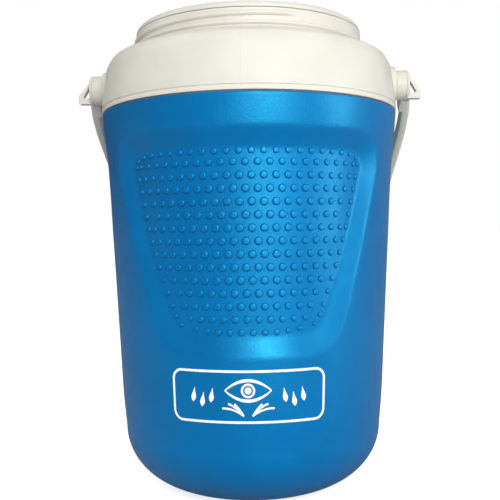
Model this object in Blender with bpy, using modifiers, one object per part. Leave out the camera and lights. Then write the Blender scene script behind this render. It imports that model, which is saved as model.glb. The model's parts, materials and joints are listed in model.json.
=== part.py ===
"""Portable gravity-fed eyewash station: an insulated jug with a carry handle, and a twin-nozzle
eyewash head low on its back.

Frame: +Z up, origin at the centre of the base. The plain front faces -Y and the eyewash head faces
+Y. Lengths here are in millimetres, and MM turns them into metres as each mesh is made.
Run with: blender --background --python part.py
"""

import math

import bmesh
import bpy
from mathutils import Matrix, Vector

MM = 0.001

# --- Jug wall: (height, radius) of the outer surface above the base corner ----------------------------
WALL_POINTS = (
    (48, 104.4), (73, 106.6), (112, 108.6), (190, 112.5), (262, 116.3), (287, 118.9), (299, 119.8),
)  # fmt: skip
CORNER_H = 48
BASE_RING_R = 50.5
BASE_INNER_R = 44
PUSH_UP_R = 38
PUSH_UP_H = 4
SHELL_WALL = 2.5
SHELL_ROWS = (299, 276, 262.3, 195, 130.6, 117, 80, 48, 30, 13, 3.5)
JUG_SEGMENTS = 40
FOAM_OFFSET = SHELL_WALL + 0.7
FOAM_TOP_Z = 304.5

# --- Recessed grip panels, front and back -------------------------------------------------------------
PANEL_TOP_Z, PANEL_BOTTOM_Z = 262.3, 130.6
PANEL_TOP_HALF, PANEL_BOTTOM_HALF = 98, 66
PANEL_TOP_CORNER, PANEL_BOTTOM_CORNER = 10, 20
PANEL_TOP_DEPTH, PANEL_BOTTOM_DEPTH = 7, 5
PANEL_SLOPE = 15
PANEL_REF_R = 112

# --- Neck collar --------------------------------------------------------------------------------------
NECK_R = 92
NECK_BORE_R = 87.8
NECK_TOP_Z = 363.7
NECK_ROOT_Z = 349
# Outside of the collar from the neck's root to its bead: (radius, height).
SHOULDER = ((106.5, 345.6), (112.1, 342.3), (114.9, 339.2), (116.1, 335.5), (119.8, 309), (120, 303))
COLLAR_WALL = 3
BEAD_R, BEAD_Z = 93.5, 352.9
THREAD_LEAD = 9
THREAD_START_Z = 359.9
THREAD_START_DEG = 22.5
THREAD_STEP_DEG = 9
THREAD_SECTIONS = 33
THREAD_RISE = 1.8

# --- Liner --------------------------------------------------------------------------------------------
LINER_WALL = 2.5
RIM_TOP_Z = 369
LINER_FLOOR_R, LINER_FLOOR_Z = 49, 15
LINER_SIDE_R, LINER_CORNER_H = 94.5, 40

# --- Carry handle and its pivots ----------------------------------------------------------------------
PIVOT_Z = 323.7
BOSS_R = 15
BOSS_FACE_X, BOSS_ROOT_X = 120.4, 106
SPIGOT_R, SPIGOT_END_X = 6, 128.9
STUD_R, STUD_HOLE_R = 3.2, 3.6
HUB_R, HUB_BORE_R = 12.1, 6.4
HUB_IN_X, HUB_OUT_X = 120.8, 129
LUG_IN_X, LUG_OUT_X, LUG_TIP_X = 129.3, 131.9, 142
ARM_IN_X, ARM_OUT_X = 127, 134.2
ARM_START = 13.2
ARM_TAPER = 5
ARM_HALF_W, GRIP_HALF_W = 6.5, 9
GRIP_IN, GRIP_OUT = 152.5, 160.5
HANDLE_CORNER_R = 58
HANDLE_REST_DEG = -40

# --- Outlet and ball valve, on an axis along Y --------------------------------------------------------
OUTLET_Z = 52
SHELL_BOSS_R, SHELL_BOSS_ROOT_Y, SHELL_BOSS_Y = 25, 97, 107.5
LINER_PAD_R, LINER_PAD_IN_Y, LINER_PAD_OUT_Y = 19, 86, 93.5
TAIL_R, TAIL_HOLE_R, TAIL_END_Y = 10.4, 10.8, 66
WATERWAY_R = 7
FLANGE_Y, FLANGE_END_Y, FLANGE_R = 110.1, 114, 19
BODY_R, BODY_END_Y = 16.5, 152
BALL_Y, BALL_R, BALL_BORE_R = 133, 11, 6.5
CHAMBER_R, CHAMBER_IN_Y = 12.2, 119
SIDE_BOSS_R, SIDE_BOSS_X = 9.5, 46
STEM_R, STEM_BORE_R, STEM_END_X = 4.8, 5.1, 57.2

# --- Nozzle manifold, nozzles and their caps ----------------------------------------------------------
MANIFOLD_Y = 178
MANIFOLD_R, MANIFOLD_BORE_R = 8.5, 6
ELBOW_R = 14
NOZZLE_X = 33
RISER_TOP_Z = 84
CUP_R, CUP_TOP_Z = 15, 105
SPRAY_HOLES = 5
CAP_R, CAP_BORE_R, CAP_FOOT_Z, CAP_TOP_Z = 17, 15.8, 99.7, 108
CAP_HINGE_Y, CAP_HINGE_Z = 157.4, 99.4

# --- Activation arm -----------------------------------------------------------------------------------
SWING_REST_DEG = 93
SWING_IN_X, SWING_OUT_X = 52.5, 57.5
SWING_BAR_IN, SWING_BAR_OUT = 98, 106


# === Scene and mesh helpers ===========================================================================
for old in list(bpy.data.objects):
    bpy.data.objects.remove(old)

PARTS = bpy.data.collections.new("eyewash_station")
CUTTERS = bpy.data.collections.new("cutters")
bpy.context.scene.collection.children.link(PARTS)
bpy.context.scene.collection.children.link(CUTTERS)


def material(name, colour, roughness, metallic=0.0):
    made = bpy.data.materials.new(name)
    made.use_nodes = True
    shader = made.node_tree.nodes["Principled BSDF"]
    shader.inputs["Base Color"].default_value = (*colour, 1)
    shader.inputs["Roughness"].default_value = roughness
    shader.inputs["Metallic"].default_value = metallic
    return made


BLUE = material("blue_hdpe", (0.01, 0.22, 0.55), 0.45)
CREAM = material("cream_plastic", (0.80, 0.77, 0.69), 0.4)
WHITE = material("white_liner", (0.88, 0.88, 0.86), 0.35)
FOAM = material("pu_foam", (0.85, 0.76, 0.48), 0.9)
RUBBER = material("black_rubber", (0.03, 0.03, 0.03), 0.8)
GREEN = material("safety_green", (0.0, 0.35, 0.14), 0.4)
STEEL = material("stainless", (0.62, 0.62, 0.60), 0.3, 1.0)
PTFE = material("ptfe", (0.9, 0.9, 0.88), 0.5)


def add(obj, finish):
    """Links obj to the parts with its finish, or to the cutters when it has none."""
    if finish is None:
        CUTTERS.objects.link(obj)
        obj.hide_render = True
        obj.display_type = "WIRE"
        return obj
    PARTS.objects.link(obj)
    obj.data.materials.clear()
    obj.data.materials.append(finish)
    return obj


def from_bmesh(name, bm, finish):
    """A closed mesh object from a bmesh in millimetres."""
    bmesh.ops.scale(bm, vec=(MM, MM, MM), verts=bm.verts)
    bmesh.ops.recalc_face_normals(bm, faces=bm.faces)
    mesh = bpy.data.meshes.new(name)
    bm.to_mesh(mesh)
    bm.free()
    mesh.shade_smooth()
    mesh.set_sharp_from_angle(angle=math.radians(30))
    return add(bpy.data.objects.new(name, mesh), finish)


# Rotations that carry a shape made along +Z to another axis.
ALONG = {
    "Z": Matrix.Identity(4),
    "Y": Matrix.Rotation(math.radians(-90), 4, "X"),
    "X": Matrix.Rotation(math.radians(90), 4, "Y"),
    "-X": Matrix.Rotation(math.radians(-90), 4, "Y"),
}


def stand(obj, axis, at):
    obj.matrix_world = Matrix.Translation(Vector(at) * MM) @ ALONG[axis]
    return obj


def turned(name, profile, finish, axis="Z", at=(0, 0, 0), steps=20, ring=True):
    """A turned solid. The profile holds (radius, height) and runs down the outer side. A ring's profile
    closes on itself, and any other one starts and ends on the axis."""
    mesh = bpy.data.meshes.new(name)
    edges = [(i, i + 1) for i in range(len(profile) - 1)]
    if ring:
        edges.append((len(profile) - 1, 0))
    mesh.from_pydata([(r * MM, 0, z * MM) for r, z in profile], edges, [])
    obj = stand(add(bpy.data.objects.new(name, mesh), finish), axis, at)
    screw = obj.modifiers.new("turn", "SCREW")
    screw.steps = steps
    screw.render_steps = steps
    screw.use_merge_vertices = True
    screw.merge_threshold = 0.00001
    screw.use_smooth_shade = True
    return obj


def tube(name, inner, outer, start, end, finish, axis="Z", at=(0, 0, 0), steps=20):
    profile = [(outer, end), (outer, start), (inner, start), (inner, end)]
    return turned(name, profile, finish, axis, at, steps)


def rod(name, radius, start, end, finish, axis="Z", at=(0, 0, 0), steps=20):
    profile = [(0, end), (radius, end), (radius, start), (0, start)]
    return turned(name, profile, finish, axis, at, steps, False)


def box(name, low, high, finish):
    bm = bmesh.new()
    size = Vector(high) - Vector(low)
    middle = (Vector(high) + Vector(low)) / 2
    bmesh.ops.create_cube(bm, size=1, matrix=Matrix.Translation(middle) @ Matrix.Diagonal((*size, 1)))
    return from_bmesh(name, bm, finish)


def ball(name, radius, finish, axis, at, steps=20):
    """A ball whose poles lie on the axis."""
    angles = [math.pi * k / 10 for k in range(11)]
    profile = [(radius * math.sin(a), radius * math.cos(a)) for a in angles]
    profile[0], profile[-1] = (0, radius), (0, -radius)
    return turned(name, profile, finish, axis, at, steps, False)


def loft(name, sections, finish):
    """A closed solid through sections, each a loop with the same number of points."""
    bm = bmesh.new()
    rings = [[bm.verts.new(p) for p in section] for section in sections]
    for a, b in zip(rings, rings[1:]):
        for i in range(len(a)):
            j = (i + 1) % len(a)
            bm.faces.new((a[i], a[j], b[j], b[i]))
    bm.faces.new(rings[0])
    bm.faces.new(rings[-1])
    return from_bmesh(name, bm, finish)


def combine(obj, operation, others):
    """One exact Boolean against all the others together."""
    modifier = obj.modifiers.new(others[0].name, "BOOLEAN")
    modifier.operation = operation
    modifier.solver = "EXACT"
    if len(others) == 1:
        modifier.object = others[0]
        return obj
    group = bpy.data.collections.new(obj.name + "_" + operation.lower())
    CUTTERS.children.link(group)
    for other in others:
        CUTTERS.objects.unlink(other)
        group.objects.link(other)
    modifier.operand_type = "COLLECTION"
    modifier.collection = group
    return obj


def cut(obj, *others):
    return combine(obj, "DIFFERENCE", others)


def join(obj, *others):
    return combine(obj, "UNION", others)


def hex_nut(name, corner_r, bore_r, start, end, finish, axis, at):
    nut = rod(name, corner_r, start, end, finish, axis, at, 6)
    return cut(nut, rod(name + "_bore", bore_r, start - 2, end + 2, None, axis, at))


def hang(at, *pieces):
    """Parents the pieces of a moving body to an empty on its joint axis, and leaves them in place."""
    empty = bpy.data.objects.new(pieces[0].name + "_pivot", None)
    PARTS.objects.link(empty)
    place = Matrix.Translation(Vector(at) * MM)
    empty.matrix_world = place
    for piece in pieces:
        piece.parent = empty
        piece.matrix_parent_inverse = place.inverted()


# === Jug body =========================================================================================
def wall_radius(z):
    """Outer radius of the jug at height z: a smooth curve through WALL_POINTS over an elliptical corner."""
    if z < CORNER_H:
        below = (CORNER_H - z) / CORNER_H
        return BASE_RING_R + (WALL_POINTS[0][1] - BASE_RING_R) * math.sqrt(max(0, 1 - below * below))
    slopes = [(b[1] - a[1]) / (b[0] - a[0]) for a, b in zip(WALL_POINTS, WALL_POINTS[1:])]
    ends = [slopes[0]] + [(m + n) / 2 for m, n in zip(slopes, slopes[1:])] + [slopes[-1]]
    i = max(k for k in range(len(slopes)) if z >= WALL_POINTS[k][0])
    (z0, r0), (z1, r1) = WALL_POINTS[i], WALL_POINTS[i + 1]
    t = (z - z0) / (z1 - z0)
    rise = (t**3 - 2 * t**2 + t) * ends[i] + (t**3 - t**2) * ends[i + 1]
    return r0 + (3 * t**2 - 2 * t**3) * (r1 - r0) + rise * (z1 - z0)


def outline_distance(u, z):
    """Signed distance from (u, z) to the panel floor's rounded outline, in the unrolled wall."""
    share = min(1.0, max(0.0, (z - PANEL_BOTTOM_Z) / (PANEL_TOP_Z - PANEL_BOTTOM_Z)))
    corner = PANEL_BOTTOM_CORNER + (PANEL_TOP_CORNER - PANEL_BOTTOM_CORNER) * share
    low = (PANEL_BOTTOM_HALF - PANEL_BOTTOM_CORNER, PANEL_BOTTOM_Z + PANEL_BOTTOM_CORNER)
    high = (PANEL_TOP_HALF - PANEL_TOP_CORNER, PANEL_TOP_Z - PANEL_TOP_CORNER)
    loop = [(-low[0], low[1]), low, high, (-high[0], high[1])]
    nearest, inside = 1e9, True
    for (ax, ay), (bx, by) in zip(loop, loop[1:] + loop[:1]):
        ex, ey, px, py = bx - ax, by - ay, u - ax, z - ay
        t = min(1.0, max(0.0, (px * ex + py * ey) / (ex * ex + ey * ey)))
        nearest = min(nearest, math.hypot(px - ex * t, py - ey * t))
        inside = inside and ex * py - ey * px >= 0
    return (-nearest if inside else nearest) - corner


def panel_depth(turn, z):
    """How far the wall is pushed in, at an angle turn round from the middle of a panel."""
    share = min(1.0, max(0.0, (z - PANEL_BOTTOM_Z) / (PANEL_TOP_Z - PANEL_BOTTOM_Z)))
    depth = PANEL_BOTTOM_DEPTH + (PANEL_TOP_DEPTH - PANEL_BOTTOM_DEPTH) * share
    away = outline_distance(turn * PANEL_REF_R, z) / PANEL_SLOPE
    return depth * (1 - min(1.0, max(0.0, away)))


def jug_ring(bm, radius, z, panels=True):
    """A ring of vertices round the jug, pushed in where the front and back panels are."""
    ring = []
    for step in range(JUG_SEGMENTS):
        turn = 2 * math.pi * step / JUG_SEGMENTS
        from_panel = abs((turn + math.pi / 2) % math.pi - math.pi / 2)
        reach = radius - (panel_depth(from_panel, z) if panels else 0)
        ring.append(bm.verts.new((reach * math.sin(turn), reach * math.cos(turn), z)))
    return ring


def skin(bm, rings):
    """Quads between rings, and a fan that closes the last ring."""
    for a, b in zip(rings, rings[1:]):
        for i in range(JUG_SEGMENTS):
            j = (i + 1) % JUG_SEGMENTS
            bm.faces.new((a[i], b[i], b[j], a[j]))
    centre = bm.verts.new((0, 0, rings[-1][0].co.z))
    for i in range(JUG_SEGMENTS):
        bm.faces.new((rings[-1][i], centre, rings[-1][(i + 1) % JUG_SEGMENTS]))


def build_shell():
    bm = bmesh.new()
    rings = [jug_ring(bm, wall_radius(z), z) for z in SHELL_ROWS]
    for r, z in ((BASE_RING_R, 0), (BASE_INNER_R, 0), (PUSH_UP_R, PUSH_UP_H)):
        rings.append(jug_ring(bm, r, z, False))
    skin(bm, rings)
    shell = from_bmesh("outer_shell", bm, BLUE)
    wall = shell.modifiers.new("wall", "SOLIDIFY")
    wall.thickness = SHELL_WALL * MM
    wall.offset = -1
    wall.use_even_offset = True
    at = (0, 0, OUTLET_Z)
    boss = rod("shell_boss", SHELL_BOSS_R, SHELL_BOSS_ROOT_Y, SHELL_BOSS_Y, None, "Y", at, 28)
    hole = rod("shell_hole", TAIL_HOLE_R, 90, 120, None, "Y", at)
    plug_hole = rod("plug_hole", 8.3, -2, 12, None)
    cut(join(shell, boss), hole, plug_hole)


def corner_points(floor_r, floor_z, side_r, height, steps):
    """A quarter ellipse from a wall at side_r down and in to a floor at floor_r."""
    points = []
    for k in range(1, steps + 1):
        a = math.pi / 2 * k / steps
        points.append(
            (floor_r + (side_r - floor_r) * math.cos(a), floor_z + height * (1 - math.sin(a)))
        )
    return points


def liner_side(offset=0.0):
    """Outer side of the liner below its rim, moved out by offset."""
    side = [(87.5, 342), (90.5, 330), (97.5, 315), (98.6, 300)]
    side.append((LINER_SIDE_R, LINER_FLOOR_Z + LINER_CORNER_H))
    side += corner_points(LINER_FLOOR_R, LINER_FLOOR_Z, LINER_SIDE_R, LINER_CORNER_H, 4)
    shifted = [(r + offset, z) for r, z in side[:6]]
    shifted += [(r + offset * (1 - k / 3), z - offset * k / 3) for k, (r, z) in enumerate(side[6:], 1)]
    return shifted


def build_liner():
    rim = [
        (85.4, 368.2), (87.2, RIM_TOP_Z), (89.4, 368.2), (91.2, 366.4), (91.8, 364.1), (87.5, 364.1),
    ]  # fmt: skip
    inside = corner_points(
        LINER_FLOOR_R, LINER_FLOOR_Z + LINER_WALL, LINER_SIDE_R - LINER_WALL, LINER_CORNER_H - LINER_WALL, 4
    )
    inside = inside[::-1] + [(LINER_SIDE_R - LINER_WALL, LINER_FLOOR_Z + LINER_CORNER_H)]
    inside += [(96.1, 300), (95, 314), (88, 329.3), (85, 341), (85, 367)]
    profile = [(0, LINER_FLOOR_Z + LINER_WALL)] + inside + rim + liner_side() + [(0, LINER_FLOOR_Z)]
    liner = turned("inner_liner", profile, CREAM, steps=JUG_SEGMENTS, ring=False)
    pad = rod(
        "liner_pad", LINER_PAD_R, LINER_PAD_IN_Y, LINER_PAD_OUT_Y, None, "Y", (0, 0, OUTLET_Z), 24
    )
    hole = rod("liner_hole", TAIL_HOLE_R, 80, 98, None, "Y", (0, 0, OUTLET_Z))
    cut(join(liner, pad), hole)


def build_foam():
    """Foam between the shell and the liner, up to the top of the collar's skirt."""
    bm = bmesh.new()
    rings = [jug_ring(bm, 113.4, FOAM_TOP_Z, False), jug_ring(bm, 113.4, 288.5, False)]
    rings += [jug_ring(bm, wall_radius(z) - FOAM_OFFSET, z) for z in (288.4,) + SHELL_ROWS[1:8]]
    floor_z = PUSH_UP_H + SHELL_WALL + 0.8
    corner = corner_points(
        BASE_RING_R, floor_z, wall_radius(CORNER_H) - FOAM_OFFSET, CORNER_H - floor_z, 4
    )
    rings += [jug_ring(bm, r, z, False) for r, z in corner]
    skin(bm, rings)
    bm.faces.new(rings[0])
    foam = from_bmesh("foam_insulation", bm, FOAM)
    core = [(0, 345)] + liner_side(0.4) + [(0, LINER_FLOOR_Z - 0.4)]
    core.insert(1, (core[1][0], 345))
    at = (0, 0, OUTLET_Z)
    liner_space = turned("liner_space", core, None, steps=JUG_SEGMENTS, ring=False)
    pad_space = rod("pad_space", LINER_PAD_R + 0.4, 80, LINER_PAD_OUT_Y + 0.4, None, "Y", at)
    boss_space = rod("boss_space", SHELL_BOSS_R + 0.4, SHELL_BOSS_ROOT_Y - 0.4, 120, None, "Y", at, 28)
    tail_space = rod("tail_space", TAIL_HOLE_R + 1, 80, 120, None, "Y", at)
    cut(foam, liner_space, pad_space, boss_space, tail_space)


def thread_ridge():
    """The raised thread, falling to the left as seen from outside, with both ends run out."""
    sections = []
    for k in range(THREAD_SECTIONS):
        a = math.radians(THREAD_START_DEG - THREAD_STEP_DEG * k)
        z = THREAD_START_Z - THREAD_LEAD * THREAD_STEP_DEG * k / 360
        rise = THREAD_RISE * min(1, 0.25 + 0.4 * min(k, THREAD_SECTIONS - 1 - k))
        section = []
        for r, dz in ((-1, -2.6), (rise, -0.6), (rise, 0.6), (-1, 2.6)):
            reach = NECK_R + r
            section.append((reach * math.sin(a), -reach * math.cos(a), z + dz))
        sections.append(section)
    return loft("thread", sections, None)


def build_collar():
    profile = [(NECK_R - 0.6, NECK_TOP_Z), (NECK_R, NECK_TOP_Z - 0.8), (NECK_R, BEAD_Z + 1.7)]
    profile += [(BEAD_R, BEAD_Z + 0.3), (BEAD_R, BEAD_Z - 0.3), (NECK_R + 0.3, BEAD_Z - 1.7)]
    profile.append((NECK_R + 0.3, NECK_ROOT_Z))
    profile += SHOULDER
    profile += [(120, 300), (116.7, 300), (115.6, 290), (113.8, 290), (113.8, 305.5), (116.5, 308)]
    inside = [(r - COLLAR_WALL, z - COLLAR_WALL) for r, z in SHOULDER[3::-1]]
    profile += [(SHOULDER[4][0] - COLLAR_WALL, SHOULDER[4][1])] + inside
    profile += [(NECK_BORE_R, NECK_ROOT_Z - COLLAR_WALL), (NECK_BORE_R, NECK_TOP_Z)]
    collar = turned("neck_collar", profile, CREAM, steps=JUG_SEGMENTS)
    at = (0, 0, PIVOT_Z)
    bosses, holes = [], []
    for side in ("X", "-X"):
        boss = turned(
            "pivot_boss_" + side,
            [
                (0, SPIGOT_END_X), (SPIGOT_R, SPIGOT_END_X), (SPIGOT_R, BOSS_FACE_X),
                (BOSS_R - 0.6, BOSS_FACE_X), (BOSS_R, BOSS_FACE_X - 1), (BOSS_R + 1.2, BOSS_ROOT_X),
                (0, BOSS_ROOT_X),
            ],
            None, side, at, 20, False,
        )  # fmt: skip
        bosses.append(boss)
        holes.append(rod("stud_hole_" + side, STUD_HOLE_R, 111, SPIGOT_END_X + 1, None, side, at, 16))
    cut(join(collar, *bosses, thread_ridge()), *holes)


def build_plug():
    """Plug in the push-up of the base, flush with the foot ring."""
    turned(
        "foam_fill_plug",
        [(0, 6.9), (7.2, 6.9), (7.9, 6.2), (7.9, 3.6), (11, 3.6), (11, 0.6), (10.4, 0), (0, 0)],
        BLUE, ring=False, steps=20,
    )  # fmt: skip


# === Carry handle =====================================================================================
def handle_point(x, reach, across):
    """World point of the handle: reach is measured from the pivot axis, across is square to it and X."""
    a = math.radians(HANDLE_REST_DEG)
    y = reach * math.cos(a) - across * math.sin(a)
    return (x, y, PIVOT_Z + reach * math.sin(a) + across * math.cos(a))


def band_path():
    """(x, reach, turn, half width) down one arm, which leans in, round the corners and up the other."""
    middle_x = (ARM_IN_X + ARM_OUT_X) / 2
    middle_reach = (GRIP_IN + GRIP_OUT) / 2
    bend = HANDLE_CORNER_R - (ARM_OUT_X - ARM_IN_X) / 2
    straight = middle_reach - bend
    half = [(middle_x, ARM_START, 0, ARM_HALF_W)]
    for k in range(7):
        a = math.pi / 2 * k / 6
        width = ARM_HALF_W + (GRIP_HALF_W - ARM_HALF_W) * k / 6
        x = middle_x - ARM_TAPER - bend + bend * math.cos(a)
        half.append((x, straight + bend * math.sin(a), a, width))
    return half + [(-x, reach, math.pi - a, width) for x, reach, a, width in half[::-1]]


def build_handle():
    half_thick = (ARM_OUT_X - ARM_IN_X) / 2
    sections = []
    for x, reach, turn, width in band_path():
        out_x, out_reach = math.cos(turn), math.sin(turn)
        section = []
        for away, across in (
            (-1, -0.75), (-0.6, -1), (0.6, -1), (1, -0.75), (1, 0.75), (0.6, 1), (-0.6, 1), (-1, 0.75),
        ):  # fmt: skip
            step = away * half_thick
            section.append(handle_point(x + out_x * step, reach + out_reach * step, across * width))
        sections.append(section)
    handle = loft("bail_handle", sections, CREAM)
    at = (0, 0, PIVOT_Z)
    ends, bores = [], []
    for side, sign in (("X", 1), ("-X", -1)):
        hub = turned(
            "hub_" + side,
            [
                (0, HUB_OUT_X), (HUB_R - 0.8, HUB_OUT_X), (HUB_R, HUB_OUT_X - 0.8),
                (HUB_R, HUB_IN_X), (0, HUB_IN_X),
            ],
            None, side, at, 20, False,
        )  # fmt: skip
        near, far = ARM_IN_X - 1, HUB_OUT_X - 0.5
        web = []
        for reach, half_w in ((9, 5.5), (ARM_START + 3, ARM_HALF_W - 0.4)):
            corners = ((near, -half_w), (far, -half_w), (far, half_w), (near, half_w))
            web.append([handle_point(sign * x, reach, w) for x, w in corners])
        ends += [hub, loft("hub_web_" + side, web, None)]
        bores.append(rod("hub_bore_" + side, HUB_BORE_R, HUB_IN_X - 5, HUB_OUT_X + 5, None, side, at))
    cut(join(handle, *ends), *bores)
    hang(at, handle)


def build_lug(name, side, sign):
    """Snap-in cap that keeps a handle hub on its spigot and carries a triangular strap eyelet."""
    at = (0, 0, PIVOT_Z)
    lug = turned(
        name,
        [
            (0, LUG_OUT_X), (HUB_R - 0.9, LUG_OUT_X), (HUB_R, LUG_OUT_X - 0.9), (HUB_R, LUG_IN_X),
            (STUD_R, LUG_IN_X), (STUD_R, 113), (0, 113),
        ],
        CREAM, side, at, 20, False,
    )  # fmt: skip
    root_x, window_x = LUG_OUT_X - 1.5, LUG_OUT_X + 0.6
    outline = ((root_x, -11.2), (LUG_TIP_X, -11.2), (LUG_TIP_X, -4), (root_x, 9))
    window = ((window_x, -6.2), (LUG_TIP_X - 3.4, -6.2), (window_x, 4.4))
    eyelet = [[(sign * x, y, PIVOT_Z + z) for x, z in outline] for y in (-3.5, 3.5)]
    hollow = [[(sign * x, y, PIVOT_Z + z) for x, z in window] for y in (-9, 9)]
    cut(join(lug, loft(name + "_eyelet", eyelet, None)), loft(name + "_window", hollow, None))


# === Valve ============================================================================================
def build_valve():
    at = (0, 0, OUTLET_Z)
    body = turned(
        "valve_body",
        [
            (WATERWAY_R, BODY_END_Y - 33), (CHAMBER_R, CHAMBER_IN_Y), (CHAMBER_R, BODY_END_Y),
            (BODY_R - 0.8, BODY_END_Y), (BODY_R, BODY_END_Y - 0.8), (BODY_R, FLANGE_END_Y + 4),
            (BODY_R - 2, FLANGE_END_Y), (FLANGE_R, FLANGE_END_Y), (FLANGE_R, FLANGE_Y),
            (TAIL_R, FLANGE_Y), (TAIL_R, TAIL_END_Y), (WATERWAY_R, TAIL_END_Y),
        ],
        CREAM, "Y", at, 24,
    )  # fmt: skip
    stem_at = (0, BALL_Y, OUTLET_Z)
    right = rod("side_boss_right", SIDE_BOSS_R, 14, SIDE_BOSS_X, None, "X", stem_at)
    left = turned(
        "side_boss_left",
        [
            (0, STEM_END_X), (STEM_R, STEM_END_X), (STEM_R, SIDE_BOSS_X + 5), (SIDE_BOSS_R, SIDE_BOSS_X),
            (SIDE_BOSS_R, 14), (0, 14),
        ],
        None, "-X", stem_at, 20, False,
    )  # fmt: skip
    stem_bore = rod("stem_bore", STEM_BORE_R, 5, SIDE_BOSS_X + 2, None, "X", stem_at)
    left_hole = rod("left_screw_hole", 2.2, 44, 60, None, "-X", stem_at, 12)
    cut(join(body, right, left), stem_bore, left_hole)

    valve_ball = ball("valve_ball", BALL_R, STEEL, "X", stem_at)
    slot = box("ball_slot", (8, BALL_Y - 1.9, OUTLET_Z - 4.6), (14, BALL_Y + 1.9, OUTLET_Z + 4.6), None)
    cut(valve_ball, rod("ball_bore", BALL_BORE_R, -15, 15, None, "Z", stem_at, 20), slot)

    stem = turned(
        "valve_stem",
        [
            (0, STEM_END_X), (STEM_R, STEM_END_X), (STEM_R, 42), (3.4, 42), (3.4, 39), (STEM_R, 39),
            (STEM_R, 11.6), (0, 11.6),
        ],
        STEEL, "X", stem_at, 20, False,
    )  # fmt: skip
    join(stem, box("tang", (8.4, BALL_Y - 1.5, OUTLET_Z - 4.1), (12.5, BALL_Y + 1.5, OUTLET_Z + 4.1), None))
    cut(stem, rod("stem_screw_hole", 2.2, 44, 60, None, "X", stem_at, 12))

    turned(
        "stem_o_ring",
        [(4.35, 41.6), (5, 41.1), (5, 39.9), (4.35, 39.4), (3.7, 39.9), (3.7, 41.1)],
        RUBBER, "X", stem_at, 16,
    )  # fmt: skip
    hex_nut("gland_nut", 9.2, STEM_R + 0.4, 46.4, 50.4, CREAM, "X", stem_at)
    for name, near, far in (("seat_inner", 119.4, 123.2), ("seat_outer", 142.8, 146.6)):
        inner_seat = near < BALL_Y
        sealing, flat = (far, near) if inner_seat else (near, far)
        contact = math.sqrt((BALL_R + 0.35) ** 2 - (sealing - BALL_Y) ** 2)
        profile = [(11.8, flat), (WATERWAY_R, flat), (contact, sealing), (11.8, sealing)]
        turned(name, profile if inner_seat else profile[::-1], PTFE, "Y", at)
    return stem, valve_ball


def build_bulkhead():
    at = (0, 0, OUTLET_Z)
    tube("outer_gasket", TAIL_R + 0.4, 18, SHELL_BOSS_Y + 0.3, FLANGE_Y - 0.3, RUBBER, "Y", at)
    tube("inner_gasket", TAIL_R + 0.4, 15, 83.8, LINER_PAD_IN_Y - 0.3, RUBBER, "Y", at)
    hex_nut("bulkhead_nut", 16.5, TAIL_R + 0.4, 75.4, 83.4, WHITE, "Y", at)
    strainer = turned(
        "intake_strainer",
        [
            (0, 54), (9, 54), (12.6, 57.6), (12.6, 73), (TAIL_R + 0.4, 73), (TAIL_R + 0.4, 65.6),
            (9.2, 65.6), (9.2, 58.4), (7.6, 56.4), (0, 56.4),
        ][::-1],
        WHITE, "Y", at, 20, False,
    )  # fmt: skip
    slots = []
    for k, turn in enumerate((0, 60, 120)):
        slot = box("strainer_slot_" + str(k), (-15, 59.5, -1.5), (15, 63.5, 1.5), None)
        spin = Matrix.Rotation(math.radians(turn), 4, "Y")
        slot.matrix_world = Matrix.Translation(Vector(at) * MM) @ spin
        slots.append(slot)
    cut(strainer, *slots)


def build_swing_arm():
    """U-shaped arm that turns the ball valve, standing up when the valve is shut."""
    a = math.radians(SWING_REST_DEG)

    def point(x, reach, across):
        y = BALL_Y + reach * math.cos(a) - across * math.sin(a)
        return (x, y, OUTLET_Z + reach * math.sin(a) + across * math.cos(a))

    middle_x = (SWING_IN_X + SWING_OUT_X) / 2
    middle_reach = (SWING_BAR_IN + SWING_BAR_OUT) / 2
    bend = 14
    half = [(middle_x, 6, 0, 2.5, 5.5), (middle_x, 50, 0, 2.5, 5.5)]
    for k in range(6):
        t = math.pi / 2 * k / 5
        x = middle_x - bend + bend * math.cos(t)
        half.append((x, middle_reach - bend + bend * math.sin(t), t, 2.5 + 1.5 * k / 5, 5.5 + 1.5 * k / 5))
    path = half + [(-x, reach, math.pi - t, thick, width) for x, reach, t, thick, width in half[::-1]]
    sections = []
    for x, reach, t, thick, width in path:
        section = []
        for away, across in (
            (-1, -0.7), (-0.5, -1), (0.5, -1), (1, -0.7), (1, 0.7), (0.5, 1), (-0.5, 1), (-1, 0.7),
        ):  # fmt: skip
            step = away * thick
            section.append(point(x + math.cos(t) * step, reach + math.sin(t) * step, across * width))
        sections.append(section)
    arm = loft("swing_arm", sections, GREEN)
    stem_at = (0, BALL_Y, OUTLET_Z)
    hubs, bores = [], []
    for side in ("X", "-X"):
        hubs.append(rod("arm_hub_" + side, 9.5, SWING_IN_X - 0.6, SWING_OUT_X - 0.4, None, side, stem_at))
        bores.append(
            rod("arm_bore_" + side, STEM_R + 0.3, SWING_IN_X - 6, SWING_OUT_X + 6, None, side, stem_at)
        )
    return cut(join(arm, *hubs), *bores)


def build_arm_screw(name, side):
    return turned(
        name,
        [(0, 60.6), (4.6, 60.6), (6.2, 59), (6.2, 57.7), (1.9, 57.7), (1.9, 46), (0, 46)],
        STEEL, side, (0, BALL_Y, OUTLET_Z), 16, False,
    )  # fmt: skip


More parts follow.
